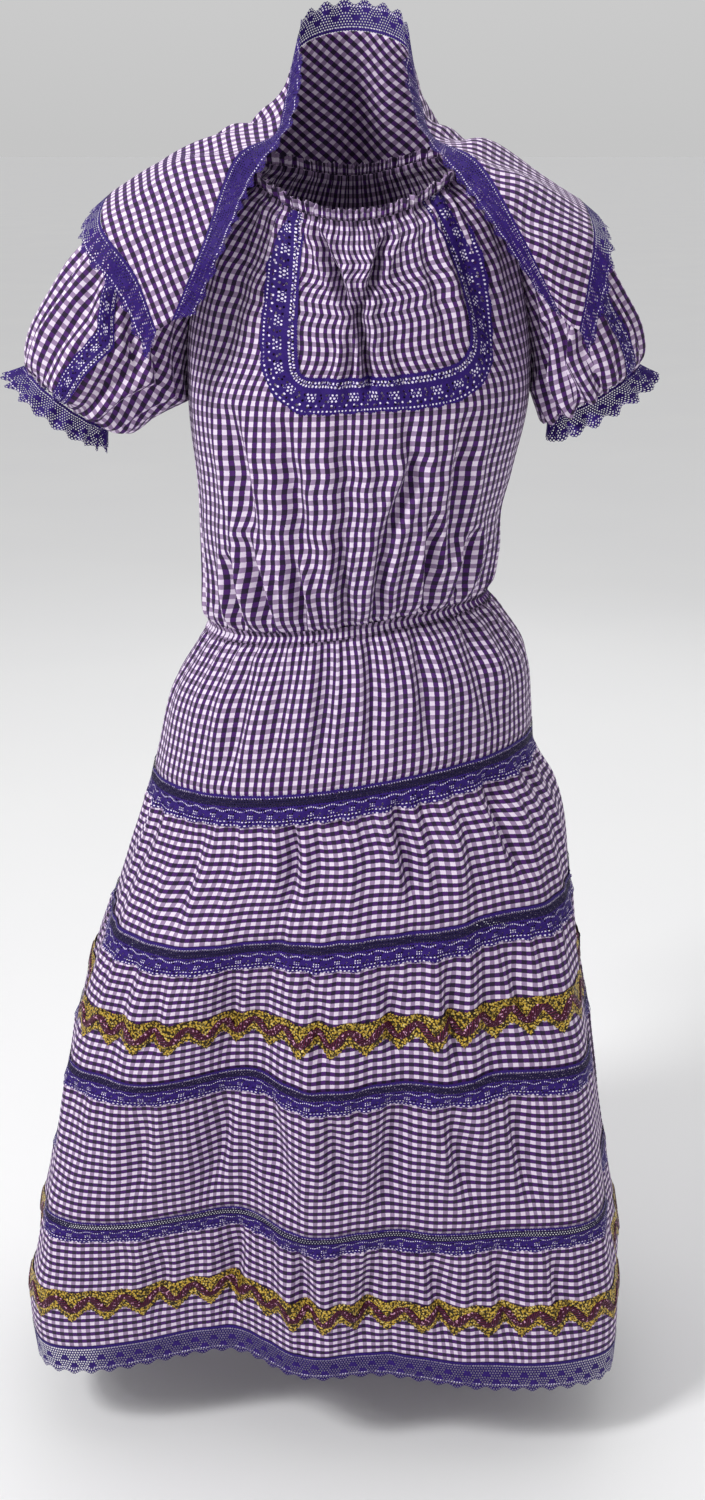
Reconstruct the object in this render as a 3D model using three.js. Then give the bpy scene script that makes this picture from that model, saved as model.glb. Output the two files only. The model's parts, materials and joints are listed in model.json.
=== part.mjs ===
import * as THREE from "three";

// A peasant dress with puff sleeves, a tiered skirt and a matching three-cornered shawl,
// all of gingham with lace between the tiers and on the edges. Millimetres, +Z up.
// The front faces -Y, and the origin is the centre of the neckline.
// Angles go round the body from 0 at the centre front, through 90 at +X, to 180 at the back.

// Walls and gaps.
const CLOTH_WALL = 1.5;
const LACE_WALL = 1.2;
const SEAM_GAP = 0.3;
const TRIM_LIFT = 0.8;

// Columns of cloth between the side seams. Two columns make one gather.
const FRONT_COLUMNS = 32;
const BACK_COLUMNS = 24;

// Heights of the seams at the centre front.
const NECKLINE_Z = -25;
const BIB_BAND_TOP_Z = -153;
const WAIST_TOP_Z = -384;
const WAIST_BOTTOM_Z = -394;
const HEM_Z = -1133;
const HEM_LACE_Z = -1158;
const LACES = [
  { name: "hip_lace", top: -529, bottom: -560 },
  { name: "thigh_lace", top: -670, bottom: -700 },
  { name: "knee_lace", top: -819, bottom: -846 },
  { name: "calf_lace", top: -985, bottom: -1010 },
];
const GOLD_TRIMS = [
  { name: "upper_gold_trim", top: -754, bottom: -781 },
  { name: "lower_gold_trim", top: -1071, bottom: -1099 },
];
const GOLD_POINT = 5;

// Heights where the hip yoke and the plain tiers bend.
const HIP_MIDDLE = [-410, -450, -490];
const TIER_1_MIDDLE = [-600, -635];
const TIER_3_MIDDLE = [-890, -938];

// Neck ruffle, cuffs and shawl lace.
const NECK_RUFFLE = { height: 11, seat: 1.6, waves: 40, swing: 2.2, flare: 2 };
const CUFF_FRILL = { length: 22, waves: 16, swing: 4, flare: 11 };
const SLEEVE_COLUMNS = 24;
const SLEEVE_LACE_COLUMNS = { left: 6, right: 8 };
const SLEEVE_LACE_FROM = 2;
const SLEEVE_LACE_SHORT = 0.2;
const SHAWL_COLUMNS = 40;
const SHAWL_ROWS = 6;
const SHAWL_LACE = 26;
// How far the shawl's lace leans down, along its legs and at its front corners.
const SHAWL_LEAN = 0.25;
const SHAWL_CORNER_LEAN = 1.6;

// Horizontal sections of the body and skirt. rise lifts the sides, nape lifts the back,
// tilt lifts +X and lowers -X, wide, front and back are half sizes, box squares the section,
// and gather is the height of the small folds.
const SECTIONS = [
  { z: -25, rise: 29, nape: 34, tilt: 4, mid: 4, wide: 98, front: 98, back: 72, box: 2.0, gather: 2.0 },
  { z: -66, rise: 34, nape: 22, tilt: 4, mid: 5, wide: 138, front: 110, back: 92, box: 2.1, gather: 1.4 },
  { z: -122, rise: 20, nape: 10, tilt: 4, mid: 5, wide: 156, front: 119, back: 101, box: 2.2, gather: 0.9 },
  { z: -184, rise: 0, nape: 0, tilt: 6, mid: 6, wide: 160, front: 123, back: 105, box: 2.2, gather: 0.7 },
  { z: -262, rise: 0, nape: 0, tilt: 7, mid: 2, wide: 149, front: 126, back: 109, box: 2.2, gather: 1.0 },
  { z: -300, rise: 0, nape: 0, tilt: 9, mid: -2, wide: 144, front: 125, back: 110, box: 2.2, gather: 1.5 },
  { z: -340, rise: 0, nape: 0, tilt: 12, mid: -2, wide: 143, front: 122, back: 108, box: 2.2, gather: 2.2 },
  { z: -370, rise: 0, nape: 0, tilt: 15, mid: -4, wide: 141, front: 112, back: 101, box: 2.1, gather: 2.8 },
  { z: -389, rise: 0, nape: 0, tilt: 16, mid: -5, wide: 137, front: 101, back: 92, box: 2.0, gather: 2.4 },
  { z: -410, rise: 0, nape: 0, tilt: 17, mid: -4, wide: 150, front: 112, back: 104, box: 2.1, gather: 2.8 },
  { z: -450, rise: 0, nape: 0, tilt: 19, mid: -4, wide: 175, front: 128, back: 124, box: 2.2, gather: 2.0 },
  { z: -506, rise: 0, nape: 0, tilt: 22, mid: -8, wide: 187, front: 138, back: 142, box: 2.1, gather: 1.2 },
  { z: -560, rise: 0, nape: 0, tilt: 23, mid: -12, wide: 196, front: 144, back: 152, box: 2.1, gather: 1.2 },
  { z: -605, rise: 0, nape: 0, tilt: 23, mid: -7, wide: 216, front: 158, back: 162, box: 2.4, gather: 1.2 },
  { z: -685, rise: -3, nape: 0, tilt: 21, mid: -14, wide: 238, front: 180, back: 178, box: 3.0, gather: 0.8 },
  { z: -750, rise: -5, nape: 0, tilt: 15, mid: -20, wide: 257, front: 190, back: 188, box: 3.5, gather: 1.0 },
  { z: -835, rise: -6, nape: 0, tilt: 9, mid: -23, wide: 277, front: 200, back: 198, box: 4.0, gather: 0.8 },
  { z: -950, rise: -8, nape: 0, tilt: 5, mid: -25, wide: 297, front: 200, back: 204, box: 4.4, gather: 1.0 },
  { z: -1035, rise: -10, nape: 0, tilt: 2, mid: -27, wide: 314, front: 198, back: 206, box: 4.8, gather: 0.8 },
  { z: -1100, rise: -15, nape: 0, tilt: 0, mid: -28, wide: 328, front: 200, back: 208, box: 5.0, gather: 1.0 },
  { z: -1158, rise: -32, nape: 0, tilt: 0, mid: -28, wide: 326, front: 202, back: 210, box: 5.0, gather: 1.0 },
];

// Large soft folds of the skirt. at and half are degrees at the hip and at the hem, from is
// where a fold starts, and depth and hem are how far the cloth goes in there, or out if negative.
const FOLDS = [
  { at: -22, atHem: -38, half: 11, halfHem: 21, from: -560, depth: 38, hem: 54 },
  { at: 22, atHem: 18, half: 10, halfHem: 12, from: -600, depth: 14, hem: 8 },
  { at: 46, atHem: 42, half: 9, halfHem: 9, from: -540, depth: 36, hem: 0 },
  { at: 56, atHem: 54, half: 8, halfHem: 9, from: -900, depth: 0, hem: -12 },
  { at: -54, atHem: -56, half: 8, halfHem: 7, from: -640, depth: 26, hem: -6 },
  { at: 78, atHem: 74, half: 11, halfHem: 10, from: -620, depth: 12, hem: 16 },
  { at: 112, atHem: 116, half: 13, halfHem: 12, from: -600, depth: 20, hem: 28 },
  { at: 146, atHem: 143, half: 13, halfHem: 14, from: -560, depth: 28, hem: 38 },
  { at: 176, atHem: 181, half: 10, halfHem: 13, from: -640, depth: 14, hem: 22 },
  { at: 212, atHem: 216, half: 12, halfHem: 16, from: -580, depth: 28, hem: 40 },
  { at: 249, atHem: 246, half: 12, halfHem: 11, from: -620, depth: 18, hem: 22 },
  { at: 280, atHem: 282, half: 11, halfHem: 11, from: -600, depth: 12, hem: 14 },
];
const FOLD_FULL_Z = -850;
const FOLD_SOFTNESS = 1.7;
const NORMAL_STEP = 2;

// Where the seams and the lace bib cross each bodice row, in degrees from the centre front.
const BODICE_ROWS = [
  { z: -25, seam: 66, bib: [-43, -27, 34, 49] },
  { z: -66, seam: 70, bib: [-38.5, -24.5, 39.5, 53] },
  { z: -122, seam: 78, bib: [-39.5, -24.5, 43, 55.5] },
  { z: -153, seam: 84, bib: [-37.5, -24, 44, 53] },
  { z: -184, seam: 90, bib: [-37, -24, 44, 52] },
  { z: -262, seam: 90, bib: [-52, -35, 45, 60] },
  { z: -340, seam: 90, bib: [-67.5, -45, 45, 67.5] },
  { z: -370, seam: 90, bib: [-67.5, -45, 45, 67.5] },
  { z: -384, seam: 90, bib: [-67.5, -45, 45, 67.5] },
];
const BIB_COLUMNS = [0, 4, 8, 24, 28, 32];

// Rows of each sleeve. crown is its outermost line and under its innermost, deep is its
// half depth from front to back, and arc is how much of a full turn the row covers.
const SLEEVES = {
  left: [
    { crownX: -94, crownZ: 11, deep: 36, arc: 0.5 },
    { crownX: -154, crownZ: 8, deep: 56, arc: 0.6 },
    { crownX: -214, crownZ: -24, deep: 66, arc: 0.75 },
    { crownX: -246, crownZ: -50, deep: 72, arc: 0.85 },
    { crownX: -270, crownZ: -78, deep: 76, arc: 1 },
    { crownX: -293, crownZ: -112, underX: -184, underZ: -204, deep: 78, arc: 1 },
    { crownX: -304, crownZ: -142, underX: -208, underZ: -220, deep: 70, arc: 1 },
    { crownX: -304, crownZ: -157, underX: -231, underZ: -213, deep: 47, arc: 1 },
  ],
  right: [
    { crownX: 102, crownZ: 11, deep: 36, arc: 0.5 },
    { crownX: 152, crownZ: 6, deep: 56, arc: 0.6 },
    { crownX: 202, crownZ: -28, deep: 66, arc: 0.75 },
    { crownX: 226, crownZ: -56, deep: 70, arc: 0.85 },
    { crownX: 243, crownZ: -84, deep: 72, arc: 1 },
    { crownX: 261, crownZ: -112, underX: 174, underZ: -200, deep: 74, arc: 1 },
    { crownX: 270, crownZ: -140, underX: 179, underZ: -211, deep: 66, arc: 1 },
    { crownX: 266, crownZ: -155, underX: 184, underZ: -204, deep: 47, arc: 1 },
  ],
};
const SLEEVE_SEAM_ROWS = 5;
const SLEEVE_SEAM_PULL = 3;

// The shawl from its left corner, round the nape, to its right corner. Each station has the
// free edge of the neck lace, the neck edge of the cloth, the fold over the shoulder and the hem.
const SHAWL = [
  { lace: [-134, -126, -100], neck: [-156, -121, -106], ridge: [-162, -120, -110], hem: [-169, -119, -114] },
  { lace: [-104, -128, -36], neck: [-127, -122, -42], ridge: [-155, -120, -54], hem: [-186, -112, -68] },
  { lace: [-84, -90, 8], neck: [-100, -68, 28], ridge: [-150, -82, 8], hem: [-216, -88, -30] },
  { lace: [-52, -40, 58], neck: [-68, -22, 46], ridge: [-134, -4, 43], hem: [-214, 4, -2] },
  { lace: [-45, 2, 100], neck: [-60, 10, 76], ridge: [-104, 32, 48], hem: [-204, 62, -30] },
  { lace: [-44, 50, 146], neck: [-47, 48, 120], ridge: [-76, 84, 40], hem: [-146, 120, -118] },
  { lace: [0, 80, 161], neck: [0, 76, 135], ridge: [0, 106, 40], hem: [0, 132, -236] },
  { lace: [45, 50, 146], neck: [48, 48, 120], ridge: [76, 84, 40], hem: [146, 120, -118] },
  { lace: [47, 2, 98], neck: [61, 10, 74], ridge: [88, 34, 42.1], hem: [192, 62, -32] },
  { lace: [56, -38, 56], neck: [71, -20, 44], ridge: [112, -2, 41], hem: [202, 4, -8] },
  { lace: [90, -92, 8], neck: [108, -72, 24], ridge: [146, -84, 4], hem: [208, -88, -36] },
  { lace: [122, -128, -34], neck: [142, -120, -32], ridge: [166, -119, -50], hem: [202, -110, -78] },
  { lace: [168, -123, -94], neck: [181, -118, -104], ridge: [188, -117, -110], hem: [196, -116, -114] },
];

const FINISHES = {
  gingham: { color: 0x9a7fb0, roughness: 0.85, metalness: 0 },
  lace: { color: 0x3a2086, roughness: 0.6, metalness: 0 },
  gold: { color: 0xb08a1e, roughness: 0.4, metalness: 0.6 },
};

const group = new THREE.Group();
const radians = THREE.MathUtils.degToRad;
const lerp = THREE.MathUtils.lerp;

// A smooth curve through the rows of a table, read at a height z that falls down the table.
function smoothAt(rows, column, z) {
  const last = rows.length - 1;
  let i = 0;
  while (i < last - 1 && z < rows[i + 1].z) i += 1;
  const slope = (k) => {
    const low = rows[Math.max(k - 1, 0)];
    const high = rows[Math.min(k + 1, last)];
    return (high[column] - low[column]) / (high.z - low.z);
  };
  const [a, b] = [rows[i], rows[i + 1]];
  const step = b.z - a.z;
  const t = THREE.MathUtils.clamp((z - a.z) / step, 0, 1);
  const t2 = t * t;
  const t3 = t2 * t;
  return (
    (2 * t3 - 3 * t2 + 1) * a[column] +
    (t3 - 2 * t2 + t) * step * slope(i) +
    (3 * t2 - 2 * t3) * b[column] +
    (t3 - t2) * step * slope(i + 1)
  );
}

function foldDepth(z, angle) {
  let depth = 0;
  for (const fold of FOLDS) {
    if (z >= fold.from) continue;
    const down = THREE.MathUtils.clamp((fold.from - z) / (fold.from - HEM_LACE_Z), 0, 1);
    const grown = THREE.MathUtils.smoothstep((fold.from - z) / (fold.from - FOLD_FULL_Z), 0, 1);
    const centre = lerp(fold.at, fold.atHem, down);
    const half = FOLD_SOFTNESS * lerp(fold.half, fold.halfHem, down);
    const away = THREE.MathUtils.euclideanModulo(angle - centre + 180, 360) - 180;
    if (Math.abs(away) >= half) continue;
    const deepest = grown * lerp(fold.depth, fold.hem, down);
    depth += deepest * Math.cos((Math.PI / 2) * (away / half)) ** 2;
  }
  return depth;
}

// The point of the dress's outer surface at a height and an angle, with swell added outwards.
function bodyPoint(z, angle, swell = 0) {
  const value = (column) => smoothAt(SECTIONS, column, z);
  const sine = Math.sin(radians(angle));
  const cosine = Math.cos(radians(angle));
  const box = value("box");
  const depth = cosine > 0 ? value("front") : value("back");
  const radius = (Math.abs(sine / value("wide")) ** box + Math.abs(cosine / depth) ** box) ** (-1 / box);
  const reach = radius - foldDepth(z, angle) + swell;
  const lift = value("rise") * sine * sine + (value("nape") * (1 - cosine)) / 2 + value("tilt") * sine;
  return new THREE.Vector3(value("mid") + reach * sine, -reach * cosine, z + lift);
}

function bodyNormal(z, angle) {
  const down = bodyPoint(z - NORMAL_STEP, angle).sub(bodyPoint(z + NORMAL_STEP, angle));
  const round = bodyPoint(z, angle + 1).sub(bodyPoint(z, angle - 1));
  return round.cross(down).normalize().negate();
}

// A grid of outer points with their normals, from rows of heights and a row of angles.
function bodyGrid(heights, anglesAt, gatherScale = 1) {
  const points = [];
  const normals = [];
  for (const z of heights) {
    const angles = anglesAt(z);
    const gather = gatherScale * smoothAt(SECTIONS, "gather", z);
    points.push(angles.map((angle, i) => bodyPoint(z, angle, i % 2 ? gather : -gather)));
    normals.push(angles.map((angle) => bodyNormal(z, angle)));
  }
  return { points, normals };
}

function movedOut(grid, distance) {
  return {
    points: grid.points.map((row, r) =>
      row.map((p, c) => p.clone().addScaledVector(grid.normals[r][c], distance)),
    ),
    normals: grid.normals,
  };
}

function gridNormals(points, closed) {
  const rows = points.length;
  const columns = points[0].length;
  return points.map((row, r) =>
    row.map((_, c) => {
      const left = closed ? (c + columns - 1) % columns : Math.max(c - 1, 0);
      const right = closed ? (c + 1) % columns : Math.min(c + 1, columns - 1);
      const across = row[right].clone().sub(row[left]);
      const down = points[Math.min(r + 1, rows - 1)][c].clone().sub(points[Math.max(r - 1, 0)][c]);
      return across.cross(down).normalize().negate();
    }),
  );
}

// One closed solid: the outer skin of the cells that keep() keeps, the inner skin a wall's
// thickness behind it, and a rim round every free edge.
function wallGeometry(grid, wall, closed = false, keep = () => true) {
  const rows = grid.points.length;
  const columns = grid.points[0].length;
  const cellColumns = closed ? columns : columns - 1;
  const outer = grid.points.flat();
  const inner = movedOut(grid, -wall).points.flat();
  const vertices = [...outer, ...inner];
  const depth = outer.length;
  const faces = [];
  const kept = (r, c) => {
    if (r < 0 || r >= rows - 1) return false;
    if (!closed && (c < 0 || c >= cellColumns)) return false;
    return keep(r, (c + cellColumns) % cellColumns);
  };
  const at = (r, c) => r * columns + (c % columns);
  const quad = (a, b, c, d) => faces.push([a, b, c], [a, c, d]);
  for (let r = 0; r < rows - 1; r += 1) {
    for (let c = 0; c < cellColumns; c += 1) {
      if (!kept(r, c)) continue;
      const [a, b, e, f] = [at(r, c), at(r, c + 1), at(r + 1, c + 1), at(r + 1, c)];
      quad(a, f, e, b);
      quad(a + depth, b + depth, e + depth, f + depth);
      if (!kept(r - 1, c)) quad(a, b, b + depth, a + depth);
      if (!kept(r + 1, c)) quad(e, f, f + depth, e + depth);
      if (!kept(r, c - 1)) quad(f, a, a + depth, f + depth);
      if (!kept(r, c + 1)) quad(b, e, e + depth, b + depth);
    }
  }
  const volume = faces.reduce((sum, [a, b, c]) => {
    return sum + vertices[a].dot(vertices[b].clone().cross(vertices[c]));
  }, 0);
  if (volume < 0) faces.forEach((face) => face.reverse());
  const used = new Map();
  const positions = [];
  const index = faces.flat().map((v) => {
    if (!used.has(v)) {
      used.set(v, used.size);
      positions.push(...vertices[v].toArray());
    }
    return used.get(v);
  });
  const geometry = new THREE.BufferGeometry();
  geometry.setAttribute("position", new THREE.Float32BufferAttribute(positions, 3));
  geometry.setIndex(index);
  geometry.computeVertexNormals();
  return geometry;
}

function addPiece(name, finish, geometry) {
  const mesh = new THREE.Mesh(geometry, new THREE.MeshStandardMaterial(FINISHES[finish]));
  mesh.name = name;
  group.add(mesh);
}

// Heights from top to bottom, with half a seam gap left at each end.
function heightsBetween(top, bottom, inner = []) {
  return [top - SEAM_GAP / 2, ...inner, bottom + SEAM_GAP / 2];
}

function evenAngles(from, to, columns) {
  return Array.from({ length: columns + 1 }, (_, i) => lerp(from, to, i / columns));
}

// Degrees that half a seam gap takes at the side seam of a section.
function seamDegrees(z) {
  return THREE.MathUtils.radToDeg(SEAM_GAP / 2 / smoothAt(SECTIONS, "wide", z));
}

function frontAngles(z) {
  const edge = 90 - seamDegrees(z);
  return evenAngles(-edge, edge, FRONT_COLUMNS);
}

function backAngles(z) {
  const gap = seamDegrees(z);
  return evenAngles(90 + gap, 270 - gap, BACK_COLUMNS);
}

const HALVES = [
  { name: "front", angles: frontAngles },
  { name: "back", angles: backAngles },
];

// Front and back bodice, whose seams with the sleeves slant from the neck to the underarm.
function bodiceAngles(z, isFront) {
  const seam = smoothAt(BODICE_ROWS, "seam", z) - seamDegrees(z);
  if (!isFront) return evenAngles(180 - seam, 180 + seam, BACK_COLUMNS);
  const row = BODICE_ROWS.find((r) => r.z <= z + SEAM_GAP);
  const stops = [-seam, ...row.bib, seam];
  const angles = [];
  for (let k = 0; k < BIB_COLUMNS.length - 1; k += 1) {
    const columns = BIB_COLUMNS[k + 1] - BIB_COLUMNS[k];
    angles.push(...evenAngles(stops[k], stops[k + 1], columns).slice(0, -1));
  }
  return [...angles, seam];
}

const bodiceHeights = BODICE_ROWS.map((row) => row.z);
bodiceHeights[0] -= SEAM_GAP / 2;
bodiceHeights[bodiceHeights.length - 1] += SEAM_GAP / 2;
const bodiceFront = bodyGrid(bodiceHeights, (z) => bodiceAngles(z, true));
const bodiceBack = bodyGrid(bodiceHeights, (z) => bodiceAngles(z, false));

// The two sleeves, each one piece of cloth that meets the bodice at its slanting seams.
// arcPoint goes from the front edge at share 0, over the crown, to the back edge at share 1.
function sleeveRow(row, front, back) {
  const crown = new THREE.Vector3(row.crownX, 0, row.crownZ);
  const middle = front.clone().add(back).multiplyScalar(0.5);
  crown.y = middle.y;
  const turn = Math.PI * row.arc;
  const lift = crown.clone().sub(middle).divideScalar(1 - Math.cos(turn));
  const centre = crown.clone().sub(lift);
  const points = [];
  const arcPoint = (share) => {
    const bend = turn * (2 * share - 1);
    const p = centre.clone().addScaledVector(lift, Math.cos(bend));
    p.y += row.deep * Math.sin(bend);
    return p;
  };
  const missFront = front.clone().sub(arcPoint(0));
  const missBack = back.clone().sub(arcPoint(1));
  for (let i = 0; i <= SLEEVE_COLUMNS; i += 1) {
    const share = i / SLEEVE_COLUMNS;
    const side = 2 * share - 1;
    const weight = Math.abs(side) ** SLEEVE_SEAM_PULL;
    points.push(arcPoint(share).addScaledVector(side < 0 ? missFront : missBack, weight));
  }
  return points;
}

function sleeveGrid(sideName) {
  const sign = sideName === "left" ? -1 : 1;
  const rows = SLEEVES[sideName];
  const points = rows.map((row, r) => {
    if (r >= SLEEVE_SEAM_ROWS) {
      const under = new THREE.Vector3(row.underX, 0, row.underZ);
      return sleeveRow(row, under, under.clone());
    }
    const z = bodiceHeights[r];
    const seam = BODICE_ROWS[r].seam + seamDegrees(z);
    const front = bodyPoint(z, sign * seam);
    const back = bodyPoint(z, sign * (180 - seam));
    if (r === SLEEVE_SEAM_ROWS - 1) {
      const under = bodyPoint(z, sign * 90, 4 * SEAM_GAP);
      return sleeveRow(row, under, under.clone());
    }
    return sleeveRow(row, front, back);
  });
  // The edges of the underarm seam stay a gap apart.
  for (let r = SLEEVE_SEAM_ROWS - 1; r < points.length; r += 1) {
    points[r][0].y -= SEAM_GAP / 2;
    points[r][SLEEVE_COLUMNS].y += SEAM_GAP / 2;
  }
  const outward = gridNormals(points, false);
  if (sign < 0) outward.flat().forEach((n) => n.negate());
  return { points, normals: outward };
}

// Both walls at a sleeve seam lean the same way there, so that they stay a gap apart.
function shareSeamNormals(sleeve, sideName) {
  const frontColumn = sideName === "left" ? 0 : FRONT_COLUMNS;
  const backColumn = sideName === "left" ? BACK_COLUMNS : 0;
  const pairs = [
    { panel: bodiceFront, panelColumn: frontColumn, sleeveColumn: 0 },
    { panel: bodiceBack, panelColumn: backColumn, sleeveColumn: SLEEVE_COLUMNS },
  ];
  for (const { panel, panelColumn, sleeveColumn } of pairs) {
    for (let r = 0; r < SLEEVE_SEAM_ROWS - 1; r += 1) {
      const shared = panel.normals[r][panelColumn].clone();
      shared.add(sleeve.normals[r][sleeveColumn]).normalize();
      panel.normals[r][panelColumn] = shared;
      sleeve.normals[r][sleeveColumn] = shared.clone();
    }
  }
}

function cuffFrill(cuff) {
  const last = SLEEVE_COLUMNS;
  const crown = cuff[last / 2];
  const under = cuff[0].clone().add(cuff[last]).multiplyScalar(0.5);
  const centre = crown.clone().add(under).multiplyScalar(0.5);
  const across = crown.clone().sub(under);
  const axis = new THREE.Vector3(across.z, 0, -across.x).normalize();
  if (axis.z > 0) axis.negate();
  const columns = 2 * CUFF_FRILL.waves;
  const deep = (cuff[(3 * last) / 4].y - cuff[last / 4].y) / 2;
  const ring = (along, more, swing) =>
    Array.from({ length: columns }, (_, i) => {
      const bend = (2 * Math.PI * i) / columns;
      const wave = more + (i % 2 ? swing : -swing);
      const half = across.length() / 2 + wave;
      const p = centre.clone().addScaledVector(axis, along);
      p.addScaledVector(across.clone().normalize(), half * Math.cos(bend));
      p.y += (deep + wave) * Math.sin(bend);
      return p;
    });
  const points = [
    ring(2 * SEAM_GAP, 0, CUFF_FRILL.swing / 4),
    ring(CUFF_FRILL.length, CUFF_FRILL.flare, CUFF_FRILL.swing),
  ];
  const normals = points.map((row) => row.map((p) => p.clone().sub(centre).projectOnPlane(axis).normalize()));
  return { points, normals };
}

function makeUpperBody() {
  const sleeves = { left: sleeveGrid("left"), right: sleeveGrid("right") };
  for (const [sideName, sleeve] of Object.entries(sleeves)) shareSeamNormals(sleeve, sideName);
  addPiece("bodice_front", "gingham", wallGeometry(bodiceFront, CLOTH_WALL));
  addPiece("bodice_back", "gingham", wallGeometry(bodiceBack, CLOTH_WALL));
  for (const [sideName, sleeve] of Object.entries(sleeves)) {
    addPiece(`sleeve_${sideName}`, "gingham", wallGeometry(sleeve, CLOTH_WALL));
    const column = SLEEVE_LACE_COLUMNS[sideName];
    const strip = {
      points: sleeve.points.slice(SLEEVE_LACE_FROM).map((row) => row.slice(column, column + 2)),
      normals: sleeve.normals.slice(SLEEVE_LACE_FROM).map((row) => row.slice(column, column + 2)),
    };
    const end = strip.points.length - 1;
    strip.points[end] = strip.points[end].map((p, i) =>
      p.clone().lerp(strip.points[end - 1][i], SLEEVE_LACE_SHORT),
    );
    const lifted = movedOut(strip, TRIM_LIFT + LACE_WALL);
    addPiece(`sleeve_lace_${sideName}`, "lace", wallGeometry(lifted, LACE_WALL));
    const frill = cuffFrill(sleeve.points[sleeve.points.length - 1]);
    addPiece(`cuff_frill_${sideName}`, "lace", wallGeometry(frill, LACE_WALL, true));
  }
}

// The lace bib lies on the front bodice: two arms and a band, cut from the panel's own cells.
function makeBib() {
  const bandRow = BODICE_ROWS.findIndex((row) => row.z === BIB_BAND_TOP_Z);
  const [, outerLeft, innerLeft, innerRight, outerRight] = BIB_COLUMNS;
  const rows = bandRow + 2;
  const panel = { points: bodiceFront.points.slice(0, rows), normals: bodiceFront.normals.slice(0, rows) };
  const isBib = (r, c) => {
    if (c < outerLeft || c >= outerRight) return false;
    return r === bandRow || c < innerLeft || c >= innerRight;
  };
  addPiece("bib_lace", "lace", wallGeometry(movedOut(panel, TRIM_LIFT + LACE_WALL), LACE_WALL, false, isBib));
}

function makeNeckRuffle() {
  const columns = 2 * NECK_RUFFLE.waves;
  const ring = (lift, flare, swing) =>
    Array.from({ length: columns }, (_, i) => {
      const angle = (360 * i) / columns;
      const p = bodyPoint(NECKLINE_Z, angle, flare + (i % 2 ? swing : -swing));
      p.z += lift;
      return p;
    });
  const points = [
    ring(NECK_RUFFLE.height, NECK_RUFFLE.flare, NECK_RUFFLE.swing),
    ring(NECK_RUFFLE.seat, 0, NECK_RUFFLE.swing / 2),
  ];
  const normals = points.map((row) =>
    row.map((_, i) => {
      const angle = radians((360 * i) / columns);
      return new THREE.Vector3(Math.sin(angle), -Math.cos(angle), 0);
    }),
  );
  addPiece("neck_ruffle", "gingham", wallGeometry({ points, normals }, CLOTH_WALL, true));
}

function makeWaistCasing() {
  const heights = heightsBetween(WAIST_TOP_Z, WAIST_BOTTOM_Z);
  const angles = (z) => [...frontAngles(z).slice(0, -1), ...backAngles(z).slice(0, -1)];
  addPiece("waist_casing", "gingham", wallGeometry(bodyGrid(heights, angles), CLOTH_WALL, true));
}

// A band of the skirt between two heights, as a front piece and a back piece.
function addBand(name, finish, wall, heights) {
  for (const half of HALVES) {
    const grid = bodyGrid(heights, half.angles);
    addPiece(`${name}_${half.name}`, finish, wallGeometry(grid, wall));
  }
}

// Gold braid on a tier: straight along its top, with a row of points along its bottom.
function addGoldTrim(trim) {
  for (const half of HALVES) {
    const grid = bodyGrid([trim.top, trim.bottom], half.angles);
    const below = bodyGrid([trim.bottom - GOLD_POINT, trim.bottom + GOLD_POINT], half.angles);
    grid.points[1] = grid.points[1].map((_, i) => below.points[i % 2][i]);
    const lifted = movedOut(grid, TRIM_LIFT + LACE_WALL);
    addPiece(`${trim.name}_${half.name}`, "gold", wallGeometry(lifted, LACE_WALL));
  }
}

function makeSkirt() {
  addBand("hip_yoke", "gingham", CLOTH_WALL, heightsBetween(WAIST_BOTTOM_Z, LACES[0].top, HIP_MIDDLE));
  for (const lace of LACES) addBand(lace.name, "lace", LACE_WALL, heightsBetween(lace.top, lace.bottom));
  const [upperGold, lowerGold] = GOLD_TRIMS;
  const goldRows = (gold) => [gold.top, gold.bottom];
  const tiers = [
    { name: "tier_1", top: LACES[0].bottom, bottom: LACES[1].top, middle: TIER_1_MIDDLE },
    { name: "tier_2", top: LACES[1].bottom, bottom: LACES[2].top, middle: goldRows(upperGold) },
    { name: "tier_3", top: LACES[2].bottom, bottom: LACES[3].top, middle: TIER_3_MIDDLE },
    { name: "tier_4", top: LACES[3].bottom, bottom: HEM_Z, middle: goldRows(lowerGold) },
  ];
  for (const tier of tiers) {
    addBand(tier.name, "gingham", CLOTH_WALL, heightsBetween(tier.top, tier.bottom, tier.middle));
  }
  for (const trim of GOLD_TRIMS) addGoldTrim(trim);
  addBand("hem_lace", "lace", LACE_WALL, [HEM_Z - SEAM_GAP / 2, HEM_LACE_Z]);
}

// The shawl. Its cloth is a sheet from the neck edge, over the shoulder fold, to the hem.
function shawlCurve(column) {
  return new THREE.CatmullRomCurve3(
    SHAWL.map((station) => new THREE.Vector3(...station[column])),
    false,
    "centripetal",
  );
}

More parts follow.
